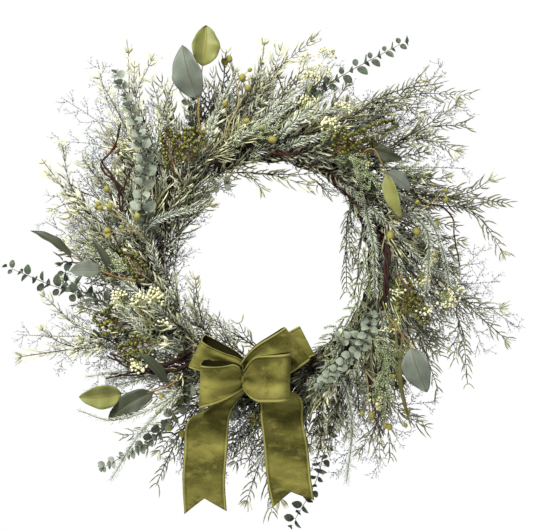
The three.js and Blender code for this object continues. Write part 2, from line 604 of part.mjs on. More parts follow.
function placeStem(owner, points, [rootRadius, tipRadius], { sides, joint }, stiff) {
  for (const shift of shifts) {
    const moved = points.map((point, i) => {
      const share = i === 0 ? 0 : Math.min(1, i / (points.length - 1) + stiff);
      return point.clone().add(new THREE.Vector3(0, -shift * share, 0));
    });
    const curve = new THREE.CatmullRomCurve3(moved);
    const steps = Math.max(2, Math.round(curve.getLength() / joint));
    const grown = stemSolid(moved, rootRadius + gap, tipRadius + gap, sides, steps);
    if (isClear(grown, (entry) => entry.owner === owner || entry.owner === 'vine_ring')) {
      const solid = mainBody(stemSolid(moved, rootRadius, tipRadius, sides, steps).subtract(ringGrown));
      take(owner, solid, solid);
      const { normals, binormals } = curve.computeFrenetFrames(steps, false);
      const stations = curve.getSpacedPoints(steps);
      return { curve, solid, sides, steps, rootRadius, tipRadius, normals, binormals, stations };
    }
  }
  return null;
}

// The point of a stem's middle line that is nearest to a given one.
function nearestOn(stem, point) {
  let nearest = stem.stations[0];
  for (let i = 0; i < stem.steps; i += 1) {
    const joint = new THREE.Line3(stem.stations[i], stem.stations[i + 1]);
    const found = joint.closestPointToPoint(point, true, new THREE.Vector3());
    if (found.distanceTo(point) < nearest.distanceTo(point)) nearest = found;
  }
  return nearest;
}

// A large leaf grows from the middle of its twig, and leans towards the viewer or the wall until
// it clears the ring, the bow and the other twigs.
function placeLeaf(owner, twig, { base, tip, ...shape }) {
  const root = nearestOn(twig, place(base));
  const end = place(tip).add(root).sub(place(base));
  for (const lean of leafLeans) {
    const leaf = { ...shape, root, tip: end.clone().add(new THREE.Vector3(0, -lean, 0)) };
    if (isClear(bigLeafSolid(leaf, gap), (entry) => entry.owner === owner)) {
      const solid = bigLeafSolid(leaf, 0);
      take(owner, solid);
      return solid;
    }
  }
  throw new Error(`${owner} has a leaf with no clear place`);
}

const nodes = [];
for (const spray of sprays) {
  const form = stemForms[spray.kind];
  const [rootRadius, tipRadius] = form.radii;
  const main = placeStem(spray.name, places(spray.stem), form.radii, form, 0.5);
  if (main === null) throw new Error(`${spray.name} finds no clear way`);
  const stems = [main];
  for (const [share, ...tip] of spray.side ?? []) {
    const root = frameOn(main, share * main.steps).point;
    root.add(new THREE.Vector3(random(-0.2, 0.2), random(-0.2, 0.2), random(-0.2, 0.2)));
    const end = place(tip);
    const heading = main.curve.getTangent(share).multiplyScalar(0.35 * root.distanceTo(end));
    const bend = root.clone().add(heading).lerp(end, 0.25);
    const thinner = [0.4 * rootRadius + 0.6 * tipRadius, tipRadius];
    const stem = placeStem(spray.name, [root, bend, end], thinner, form, 0);
    if (stem !== null) stems.push(stem);
  }
  const solids = stems.map((stem) => stem.solid);
  for (const leaf of spray.leaves ?? []) solids.push(placeLeaf(spray.name, main, leaf));
  nodes.push({ ...spray, stems, solids });
}

// An organ is kept only where it clears every other node, stem and organ.
function tryOrgan(node, stem, ring, form, root, direction, facing, size) {
  const roomy = size.clone().addScalar(2 * gap);
  const grown = organSolid(form, root, direction, facing, roomy);
  const ownRing = (entry) => entry.stem === stem.solid && (entry.ring === null || entry.ring === ring);
  if (!isClear(grown, ownRing)) return false;
  const solid = organSolid(form, root, direction, facing, size);
  node.solids.push(solid);
  take(node.name, solid, stem.solid, ring);
  return true;
}

// A place on a stem: how many joints from its root, and the directions of its facets there.
function frameOn(stem, joints) {
  const step = Math.min(stem.steps - 1, Math.floor(joints));
  const point = stem.stations[step].clone().lerp(stem.stations[step + 1], joints - step);
  const along = stem.stations[step + 1].clone().sub(stem.stations[step]).normalize();
  const across = stem.normals[step].clone().addScaledVector(along, -stem.normals[step].dot(along));
  const over = new THREE.Vector3().crossVectors(along, across.normalize());
  if (over.dot(stem.binormals[step]) < 0) over.negate();
  const radius = stem.rootRadius + ((stem.tipRadius - stem.rootRadius) * joints) / stem.steps;
  return { point, along, across, over, radius };
}

function ray({ along, across, over }, turn, pitch) {
  const sideways = across.clone().multiplyScalar(Math.cos(turn)).addScaledVector(over, Math.sin(turn));
  return along.clone().multiplyScalar(Math.cos(pitch)).addScaledVector(sideways, Math.sin(pitch));
}

const facetTurn = (stem, facet) => ((facet + 0.5) * 2 * Math.PI) / stem.sides;

// Dresses a stem with rings of organs, one ring a joint and one at the tip. Each organ grows from
// the middle of a facet, near the joint's start, where it keeps clear of the facet's diagonal.
function dress(node, stem, { form, facets, pitch, size, bare, jitter }) {
  for (let i = Math.ceil(bare * stem.steps); i <= stem.steps; i += 1) {
    const isTip = i === stem.steps;
    const frame = frameOn(stem, isTip ? stem.steps - nearJoint : i + nearJoint);
    const shrink = 1 - (0.3 * i) / stem.steps;
    for (const facet of facets) {
      const lean = pitch * (isTip ? 0.6 : 1) + random(-jitter, jitter);
      const direction = ray(frame, facetTurn(stem, facet + i), lean);
      const extent = size.clone();
      extent.y *= shrink * random(0.88, 1.1);
      if (form === needleForm) extent.x = extent.z = Math.min(size.x, needleShare * frame.radius);
      else extent.x *= shrink;
      const root = frame.point.clone().addScaledVector(direction, rootShare * frame.radius);
      tryOrgan(node, stem, i, form, root, direction, frame.along, extent);
    }
  }
}

const dressers = {
  broad() {},
  eucalyptus(node, stem) {
    const size = new THREE.Vector3(node.leaf, node.leaf, roundLeafThickness);
    dress(node, stem, { form: roundLeafForm, facets: [0, 2], pitch: 1.1, size, bare: 0.2, jitter: 0.1 });
  },
  rosemary(node, stem) {
    const size = new THREE.Vector3(0.8, 18, 0.8);
    dress(node, stem, { form: needleForm, facets: [0, 1], pitch: 0.7, size, bare: 0.4, jitter: 0.15 });
  },
  fir(node, stem) {
    const size = new THREE.Vector3(1, node.length, 1);
    dress(node, stem, { form: needleForm, facets: [0, 1, 2], pitch: 0.85, size, bare: 0.2, jitter: 0.1 });
  },
  thuja(node, stem) {
    const size = new THREE.Vector3(1.2, 11, 1.2);
    dress(node, stem, { form: needleForm, facets: [0, 1], pitch: 0.7, size, bare: 0.25, jitter: 0.1 });
  },
  mist(node, stem) {
    const size = new THREE.Vector3(0.7, 15, 0.7);
    dress(node, stem, { form: needleForm, facets: [0, 1], pitch: 0.75, size, bare: 0.4, jitter: 0.25 });
  },
  berries(node, stem) {
    tipOrgan(node, stem, ballForm, berrySize);
    stalkedBerry(node, stem, stem.steps - 1, 1);
  },
  flowers(node, stem) {
    tipOrgan(node, stem, flowerHeadForm, headSize);
  },
  buds(node, stem) {
    tipOrgan(node, stem, budForm, budSize);
  },
};

function tipOrgan(node, stem, form, size) {
  const tip = frameOn(stem, stem.steps - nearJoint);
  tryOrgan(node, stem, stem.steps, form, tip.point, tip.along, tip.across, size);
}

// A berry on a thin stalk of its own, which stays in the middle of one facet.
function stalkedBerry(node, stem, joint, facet) {
  const frame = frameOn(stem, joint + nearJoint);
  const direction = ray(frame, facetTurn(stem, facet), random(0.7, 1.2));
  const reach = stalkReach * random(0.8, 1.2);
  const ring = `${joint} ${facet}`;
  const stalk = new THREE.Vector3(stalkRadius, reach, stalkRadius);
  const end = frame.point.clone().addScaledVector(direction, reach - 1);
  if (!tryOrgan(node, stem, ring, ballForm, end, direction, frame.along, berrySize)) return;
  if (!tryOrgan(node, stem, ring, needleForm, frame.point, direction, frame.along, stalk)) {
    node.solids.pop();
    taken.pop();
  }
}

const group = new THREE.Group();

function addNode(name, solid, colour, roughness) {
  const material = new THREE.MeshStandardMaterial({ color: colour, roughness, metalness: 0 });
  const mesh = new THREE.Mesh(geometryOf(solid), material);
  mesh.name = name;
  group.add(mesh);
}

addNode('vine_ring', ringExact, 0x5a2a1c, 0.75);
addNode('bow_ribbon', bow, 0x77752f, 0.85);
addNode('bow_tie_wire', wire, 0x4b5a32, 0.5);
for (const node of nodes) {
  for (const stem of node.stems) dressers[node.kind](node, stem);
  addNode(node.name, mainBody(joined(node.solids)), stemForms[node.kind].colour, 0.7);
}

export default group;
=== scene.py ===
# %% [markdown]
# # A leaf wreath with a velvet bow
# A wreath like this one is built on a ring of twisted vine. Sprays of foliage are tucked into the
# vine all round, each lying over the root of the one before it, and a ribbon bow is wired on last.
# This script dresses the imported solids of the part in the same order: vine, sprays, bow. The
# front faces -Y, the wall side faces +Y, and everything is in metres.

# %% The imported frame
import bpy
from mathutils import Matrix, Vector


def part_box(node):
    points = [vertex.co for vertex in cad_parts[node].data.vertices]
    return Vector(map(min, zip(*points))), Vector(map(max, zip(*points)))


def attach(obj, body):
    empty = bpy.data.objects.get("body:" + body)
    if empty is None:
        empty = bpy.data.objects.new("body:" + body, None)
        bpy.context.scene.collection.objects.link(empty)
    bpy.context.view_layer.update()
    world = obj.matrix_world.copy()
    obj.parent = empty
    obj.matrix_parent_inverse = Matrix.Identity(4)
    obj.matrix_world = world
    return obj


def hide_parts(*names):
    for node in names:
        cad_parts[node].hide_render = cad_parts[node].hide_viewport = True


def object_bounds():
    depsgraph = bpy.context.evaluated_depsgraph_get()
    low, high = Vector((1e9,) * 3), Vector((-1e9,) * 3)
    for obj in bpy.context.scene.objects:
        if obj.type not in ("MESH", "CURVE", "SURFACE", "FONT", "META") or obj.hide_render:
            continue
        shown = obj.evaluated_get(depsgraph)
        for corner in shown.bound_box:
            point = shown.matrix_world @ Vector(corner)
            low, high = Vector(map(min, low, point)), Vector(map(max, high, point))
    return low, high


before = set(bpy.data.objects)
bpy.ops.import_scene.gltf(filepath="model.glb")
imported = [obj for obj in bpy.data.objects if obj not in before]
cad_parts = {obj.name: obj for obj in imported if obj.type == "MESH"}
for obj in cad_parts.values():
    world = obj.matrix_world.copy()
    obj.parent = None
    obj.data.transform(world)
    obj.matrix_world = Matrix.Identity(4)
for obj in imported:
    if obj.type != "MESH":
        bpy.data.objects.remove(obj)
cad_low, cad_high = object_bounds()
print("CAD box", [round(v, 3) for v in (*cad_low, *cad_high)])

# %% Tools
import math
import random

import bmesh
import bpy
from mathutils import Matrix, Vector, noise

noise.seed_set(11)  # unset, noise_vector starts from the clock, and each run differs

scene = bpy.context.scene
MM = 0.001
TAU = 2 * math.pi

# %% [markdown]
# ## Places on the wreath
# The solids were laid out in millimetres from the ring's middle, as right, up and out towards the
# viewer. The same three numbers are used here, so that a piece lies where its solid lies.

# %% From the ring's middle to the frame
RING_RADIUS = 151
RING_CENTRE_HEIGHT = -131
BACK = 13.6 * MM  # foliage stays in front of the wall


def place(right, up, out):
    """A point given from the ring's middle, in millimetres, in the frame's metres."""
    return Vector((right, -out, up + RING_CENTRE_HEIGHT)) * MM


print("ring middle", [round(v, 3) for v in place(0, 0, 0)])

# %% [markdown]
# ## Camera and light
# The wreath was photographed straight on against white, in even light that comes a little from
# above. A long lens keeps the outline as flat as in such a picture. The world is the white of the
# backdrop, and two large soft lamps give the leaves a bright and a shaded side.

# %% Camera
IMAGE_WIDTH = 533
PIXEL = 1.3 * MM  # the width that one pixel covers at the ring
VIEW_MIDDLE = place(-0.65, -3.25, 20)  # a little left of the ring's middle and below it
CAMERA_DISTANCE = 3.4
FURTHEST_SEEN = 40
SENSOR = 36

camera_data = bpy.data.cameras.new("camera")
camera_data.sensor_width = SENSOR
camera_data.lens = SENSOR * CAMERA_DISTANCE / (IMAGE_WIDTH * PIXEL)
camera = bpy.data.objects.new("camera", camera_data)
scene.collection.objects.link(camera)
camera.location = VIEW_MIDDLE + Vector((0, -CAMERA_DISTANCE, 0))
camera.rotation_euler = (math.radians(90), 0, 0)
camera_data.clip_end = FURTHEST_SEEN
scene.camera = camera
print("lens", round(camera_data.lens, 1), "mm")

# %% [markdown]
# ## Writing materials as arithmetic
# A procedural material is a sum of masks and colours. `Socket` wraps one output of a node, and
# its operators add Math nodes, so a mask can be written as an expression. `Graph.add` makes any
# other node from its type, its settings and its inputs.

# %% Sockets that can be added and multiplied
class Socket:
    """One output of a node, which plain arithmetic turns into Math nodes."""

    def __init__(self, graph, socket):
        self.graph = graph
        self.socket = socket

    def math(self, operation, *others):
        """This value put through a Math node, alone or with others after it."""
        inputs = dict(enumerate((self, *others)))
        return self.graph.add("ShaderNodeMath", {"operation": operation}, inputs)

    def clamped(self):
        """This value, kept between 0 and 1."""
        return self.math("MAXIMUM", 0.0).math("MINIMUM", 1.0)

    def stripe(self, middle, narrowness):
        """From 1 where this value is at the middle to 0 a little to either side."""
        return 1 - ((self - middle).math("ABSOLUTE") * narrowness).math("MINIMUM", 1.0)

    def __add__(self, other):
        return self.math("ADD", other)

    def __sub__(self, other):
        return self.math("SUBTRACT", other)

    def __rsub__(self, other):
        return self.graph.add("ShaderNodeMath", {"operation": "SUBTRACT"}, {0: other, 1: self})

    def __mul__(self, other):
        return self.math("MULTIPLY", other)

    def __gt__(self, other):
        return self.math("GREATER_THAN", other)

    __radd__ = __add__
    __rmul__ = __mul__


class Graph:
    """Adds nodes to a tree."""

    def __init__(self, tree):
        self.tree = tree

    def node(self, kind, settings=None, inputs=None):
        """A node with its settings made first and then its inputs, by name or by number."""
        node = self.tree.nodes.new(kind)
        for name, value in (settings or {}).items():
            if name == "stops":
                set_stops(node.color_ramp, value)
            else:
                setattr(node, name, value)
        open_sockets = [socket for socket in node.inputs if socket.enabled]
        named = {socket.name: socket for socket in reversed(open_sockets)}
        for key, value in (inputs or {}).items():
            target = open_sockets[key] if isinstance(key, int) else named[key]
            if isinstance(value, Socket):
                self.tree.links.new(value.socket, target)
            else:
                target.default_value = value
        return node

    def add(self, kind, settings=None, inputs=None, output=None):
        """As node, but gives the first output in use, or the one that is named."""
        node = self.node(kind, settings, inputs)
        shown = [socket for socket in node.outputs if socket.enabled]
        found = [socket for socket in shown if output in (None, socket.name)]
        return Socket(self, found[0])


def set_stops(ramp, stops):
    """A colour ramp's stops, as (place, (red, green, blue)) with sRGB colours from 0 to 255."""
    while len(ramp.elements) < len(stops):
        ramp.elements.new(1.0)
    for element, (spot, colour) in zip(ramp.elements, stops):
        element.position = spot
        element.color = linear(colour)


def linear(colour):
    """A colour as screens give it, 0 to 255, as the linear one that Blender works with."""
    shares = [value / 255 for value in colour]
    bright = [v / 12.92 if v <= 0.04045 else ((v + 0.055) / 1.055) ** 2.4 for v in shares]
    return (*bright, 1.0)


# %% World, lamps and floor
WORLD_LIGHT = 0.21
WHITE = (1, 1, 1, 1)
# Where each lamp stands and how wide it is, in metres, and its power in watts.
LAMPS = {
    "key_lamp": ((-1.2, -2.0, 1.9), 0.75, 154),
    "fill_lamp": ((1.9, -2.1, 0.1), 1.8, 17),
}
FLOOR_HEIGHT, FLOOR_HALF = -1.1, 1.6

world = bpy.data.worlds.new("white_studio")
world.use_nodes = True
world.node_tree.nodes.clear()
sky = Graph(world.node_tree)
seen = sky.add("ShaderNodeBackground", inputs={"Color": WHITE, "Strength": 1.0})
lit = sky.add("ShaderNodeBackground", inputs={"Color": WHITE, "Strength": WORLD_LIGHT})
by_camera = sky.add("ShaderNodeLightPath", output="Is Camera Ray")
mixed = sky.add("ShaderNodeMixShader", inputs={0: by_camera, 1: lit, 2: seen})
sky.node("ShaderNodeOutputWorld", inputs={"Surface": mixed})
scene.world = world
scene.view_settings.view_transform = "Standard"


def lamp(name, position, width, power):
    """A square soft lamp that shines at the wreath."""
    data = bpy.data.lights.new(name, "AREA")
    data.size = width
    data.energy = power
    made = bpy.data.objects.new(name, data)
    made.location = position
    made.rotation_euler = (place(0, 0, 0) - made.location).to_track_quat("-Z", "Y").to_euler()
    scene.collection.objects.link(made)


for name, settings in LAMPS.items():
    lamp(name, *settings)

floor_mesh = bpy.data.meshes.new("floor")
corners = [(x * FLOOR_HALF, y * FLOOR_HALF, FLOOR_HEIGHT) for x, y in
           [(-1, -1), (1, -1), (1, 1), (-1, 1)]]
floor_mesh.from_pydata(corners, [], [(0, 1, 2, 3)])
floor = bpy.data.objects.new("floor", floor_mesh)
scene.collection.objects.link(floor)
print("lamps:", ", ".join(LAMPS))

# %% [markdown]
# ## Finishes
# Preserved foliage is dull and dusty. Each leaf differs a little from the next, is darker at its
# root and paler at its tip, and carries a bloom like frost. So every leaf material reads four
# things: a random number for the leaf, how far up its stem it sits, its own length from the UV
# map, and noise in the object's own space.

# %% What every finish is made with
def surface(name, roughness, sheen=0.0, specular=0.35):
    """A new material: its graph and its Principled shader."""
    material = bpy.data.materials.new(name)
    material.use_nodes = True
    material.node_tree.nodes.clear()
    graph = Graph(material.node_tree)
    shader = graph.node("ShaderNodeBsdfPrincipled", inputs={"Roughness": roughness})
    shader.inputs["Sheen Weight"].default_value = sheen
    shader.inputs["Specular IOR Level"].default_value = specular
    graph.node("ShaderNodeOutputMaterial", inputs={"Surface": Socket(graph, shader.outputs[0])})
    return material, graph, shader


def link(graph, value, shader, name):
    """Leads a value into one of the shader's inputs."""
    graph.tree.links.new(value.socket, shader.inputs[name])


def attribute(graph, name):
    """A number that the mesh carries under a name."""
    return graph.add("ShaderNodeAttribute", {"attribute_name": name}, output="Fac")


def parts_of(graph, vector):
    """The three numbers of a vector."""
    split = graph.node("ShaderNodeSeparateXYZ", inputs={0: vector})
    return [Socket(graph, split.outputs[i]) for i in range(3)]


def uv_shares(graph):
    """How far across the piece and how far along it, each from 0 to 1, from its UV map."""
    return parts_of(graph, graph.add("ShaderNodeUVMap", {"uv_map": "UVMap"}))[:2]


def object_place(graph):
    """Where the finish is looked up, in the frame's metres."""
    return parts_of(graph, graph.add("ShaderNodeTexCoord", output="Object"))


def object_noise(graph, scale, detail=2.0, stretch=(1, 1, 1)):
    """Noise that stays on the piece, with so many blotches to the metre."""
    where = graph.add("ShaderNodeTexCoord", output="Object")
    where = graph.add("ShaderNodeMapping", inputs={"Vector": where, "Scale": stretch})
    inputs = {"Vector": where, "Scale": scale, "Detail": detail}
    return graph.add("ShaderNodeTexNoise", inputs=inputs)


def mix(graph, share, first, second):
    """Two colours mixed by a share; a colour may be a socket or an sRGB triple."""
    first, second = (c if isinstance(c, Socket) else linear(c) for c in (first, second))
    settings = {"data_type": "RGBA", "clamp_factor": True}
    return graph.add("ShaderNodeMix", settings, {"Factor": share, "A": first, "B": second})


def bump(graph, height, depth, shader):
    """Small relief that the finish shows but the mesh doesn't."""
    normal = graph.add("ShaderNodeBump", inputs={"Height": height, "Distance": depth})
    link(graph, normal, shader, "Normal")


# %% [markdown]
# ### Shade and frost on the leaves
# A wreath is dark between its leaves: little light falls in as far as the vine. The lamps alone
# leave that too bright, because each spray is thinner than a real one, so a leaf's finish also
# carries painted shade: it darkens by its distance from the ring's middle line, and leaves low on
# their stems take the darker colour of the root. Frost is fine noise that whitens the colour, more
# on some plants than on others.

# %% Finishes for leaves and twigs
SHADE_START, SHADE_END = 0.041, 0.016  # metres from the ring's middle line
INNER_LIGHT = 2.3  # how much faster it grows light towards the open middle
DEEPEST_SHADE = 0.76  # the most that the painted shade covers of a leaf's own colour
SHADE_COLOUR = 0.3  # of the colour at the leaf's root
FROST = (226, 228, 214)


def shade_depth_in_ring(graph):
    """From 0 outside to 1 near the ring's middle line: how much painted shade a leaf takes there.
    """
    x, y, z = object_place(graph)
    z = z - RING_CENTRE_HEIGHT * MM
    beside = (x * x + z * z).math("SQRT") - RING_RADIUS * MM
    beside = beside.math("MAXIMUM", beside * -INNER_LIGHT)
    away = (beside * beside + y * y).math("SQRT")
    return ((SHADE_START - away) * (1 / (SHADE_START - SHADE_END))).clamped()


def leaf_finish(name, root, middle, tip, pale, frost, spread=0.5, young=None):
    """A small leaf: its colour from root to tip, a paler neighbour, a share of frost, the colour of
    the young leaves at the stem's end, and painted shade deep in the wreath."""
    material, graph, shader = surface(name, 0.62, sheen=0.1)
    tint, stem = attribute(graph, "tint"), attribute(graph, "share")
    _, along = uv_shares(graph)
    stops = {"stops": [(0.0, root), (0.45, middle), (1.0, tip)]}
    colour = graph.add("ShaderNodeValToRGB", stops, {0: along})
    blotches = object_noise(graph, 28)
    colour = mix(graph, (tint * 0.8 + blotches * 1.2 - 0.6) * spread, colour, pale)
    dust = object_noise(graph, 260, 3)
    colour = mix(graph, (dust - 0.42) * 4 * frost, colour, FROST)
    if young:
        colour = mix(graph, (stem - 0.78) * 3.4, colour, young)
    # painted shade: leaves low on their stems, deep in the wreath, take the root's colour
    colour = mix(graph, (0.3 - stem) * 1.6, colour, root)
    shade = [v * SHADE_COLOUR for v in root]
    # painted shade, deepest near the ring's middle line
    colour = mix(graph, shade_depth_in_ring(graph) * DEEPEST_SHADE, colour, shade)
    link(graph, colour, shader, "Base Color")
    bump(graph, dust, 0.0004, shader)
    return material


def stem_finish(name, dark, light):
    """A twig: two colours in streaks and a rough skin."""
    material, graph, shader = surface(name, 0.75)
    streaks = object_noise(graph, 180, 3)
    colour = mix(graph, (streaks - 0.35) * 2.5, dark, light)
    link(graph, colour, shader, "Base Color")
    bump(graph, streaks, 0.0006, shader)
    return material


# %% The foliage's finishes
LEAF = {
    "eucalyptus": leaf_finish("eucalyptus_leaf", (62, 72, 54), (104, 115, 94), (134, 143, 121),
                              (154, 162, 142), frost=0.14, spread=0.9),
    "flowers": leaf_finish("cream_petal", (170, 168, 104), (226, 222, 170), (248, 244, 212),
                           (240, 236, 192), frost=0.1),
    "buds": leaf_finish("yellow_bud", (70, 64, 18), (128, 122, 38), (166, 160, 66),
                        (152, 146, 56), frost=0.06),
    "fir": leaf_finish("fir_needle", (66, 82, 46), (192, 202, 176), (255, 255, 246),
                       (240, 244, 228), frost=0.5),
    "thuja": leaf_finish("thuja_scale", (38, 58, 16), (124, 152, 70), (240, 246, 206),
                         (206, 220, 152), frost=0.55),
    "rosemary": leaf_finish("rosemary_needle", (24, 28, 14), (84, 88, 56), (174, 174, 132),
                            (142, 146, 110), frost=0.3, spread=0.7, young=(150, 148, 98)),
    "rosette": leaf_finish("young_tip", (134, 142, 92), (206, 206, 158), (252, 250, 226),
                           (240, 240, 208), frost=0.3),
    "strap": leaf_finish("pale_strap_leaf", (120, 128, 66), (206, 204, 142), (244, 240, 192),
                         (232, 228, 180), frost=0.25),
    "mist": leaf_finish("mist_leaflet", (82, 88, 88), (158, 167, 165), (224, 231, 230),
                        (204, 213, 212), frost=0.5),
}
STEM = {
    "broad": stem_finish("tan_petiole", (122, 92, 52), (160, 128, 76)),
    "eucalyptus": stem_finish("grey_twig", (92, 92, 72), (132, 128, 100)),
    "berries": stem_finish("orange_brown_stalk", (92, 66, 30), (146, 106, 54)),
    "flowers": stem_finish("pale_green_stem", (138, 148, 80), (196, 198, 134)),
    "buds": stem_finish("beige_stem", (124, 112, 74), (170, 160, 120)),
    "fir": stem_finish("green_core", (70, 88, 46), (112, 126, 78)),
    "thuja": stem_finish("olive_twig", (70, 72, 38), (110, 110, 64)),
    "rosemary": stem_finish("brown_green_twig", (44, 32, 20), (90, 78, 46)),
    "rosette": stem_finish("young_twig", (110, 104, 66), (158, 152, 108)),
    "strap": stem_finish("pale_twig", (150, 146, 92), (190, 184, 132)),
    "mist": stem_finish("grey_brown_twig", (84, 80, 76), (142, 142, 140)),
}
print("leaf and stem finishes made:", len(bpy.data.materials))

# %% [markdown]
# ### Broad leaves and berries
# The few broad leaves are seen close enough to show their midrib and veins, which are drawn from
# the leaf's own UV map. A berry is green with a satin skin, with painted shade at its stalk and a
# painted yellow highlight at its far end.

# %% Broad leaf and berry finishes
VEIN_PAIRS = 11
VEIN_SLANT = 5  # vein spacings that a vein rises by in a leaf's whole width


def veined_leaf(name, dark, light, rib):
    """A broad leaf: two greens in blotches, with its midrib and side veins in a third colour."""
    material, graph, shader = surface(name, 0.55, sheen=0.1)
    across, along = uv_shares(graph)
    midrib = across.stripe(0.5, 26)
    away = (across - 0.5).math("ABSOLUTE")
    vein = (along * VEIN_PAIRS - away * VEIN_SLANT).math("PINGPONG", 0.5) * 2
    vein = ((vein - 0.9) * 8).math("MAXIMUM", 0.0)
    blotches = object_noise(graph, 40, 3)
    colour = mix(graph, (blotches - 0.3) * 1.8, dark, light)
    colour = mix(graph, vein * 0.36, colour, rib)
    colour = mix(graph, midrib * 0.9, colour, rib)
    link(graph, colour, shader, "Base Color")
    bump(graph, midrib * 0.6 - vein * 0.1 + blotches * 0.3, 0.0006, shader)
    return material


LEAF["broad"] = veined_leaf("grey_green_leaf", (88, 95, 82), (124, 131, 116), (86, 80, 58))
YELLOW_LEAF = veined_leaf("yellow_green_leaf", (108, 111, 50), (144, 147, 80), (154, 128, 72))
DARK_LEAF = veined_leaf("dark_green_leaf", (40, 47, 30), (72, 79, 54), (98, 90, 58))
OLIVE_LEAF = veined_leaf("olive_leaf", (76, 74, 32), (112, 108, 54), (104, 90, 48))


def berry_finish():
    """A berry with a satin skin, dark with painted shade at its stalk and a painted highlight at
    its far end.
    """
    material, graph, shader = surface("green_berry", 0.26)
    tint = attribute(graph, "tint")
    _, along = uv_shares(graph)
    # painted shade at the stalk end, painted highlight at the far end
    stops = {"stops": [(0.0, (18, 20, 6)), (0.5, (64, 70, 18)), (1.0, (160, 158, 54))]}
    colour = graph.add("ShaderNodeValToRGB", stops, {0: along})
    colour = mix(graph, tint * 0.5, colour, (44, 46, 14))
    skin = object_noise(graph, 900, 2)
    colour = mix(graph, (skin - 0.5) * 0.5, colour, (168, 164, 84))
    link(graph, colour, shader, "Base Color")
    bump(graph, skin, 0.0002, shader)
    return material


LEAF["berries"] = berry_finish()
print("finishes so far:", len(bpy.data.materials))

# %% [markdown]
# ## The sprays
# Each spray is one main stem and its side stems, laid where its solid lies. A main stem is four or
# more points. A side stem leaves it at a share of its length and runs to a point of its own. A
# broad leaf runs from its base to its tip, with a width, and a turn about its midrib in degrees.

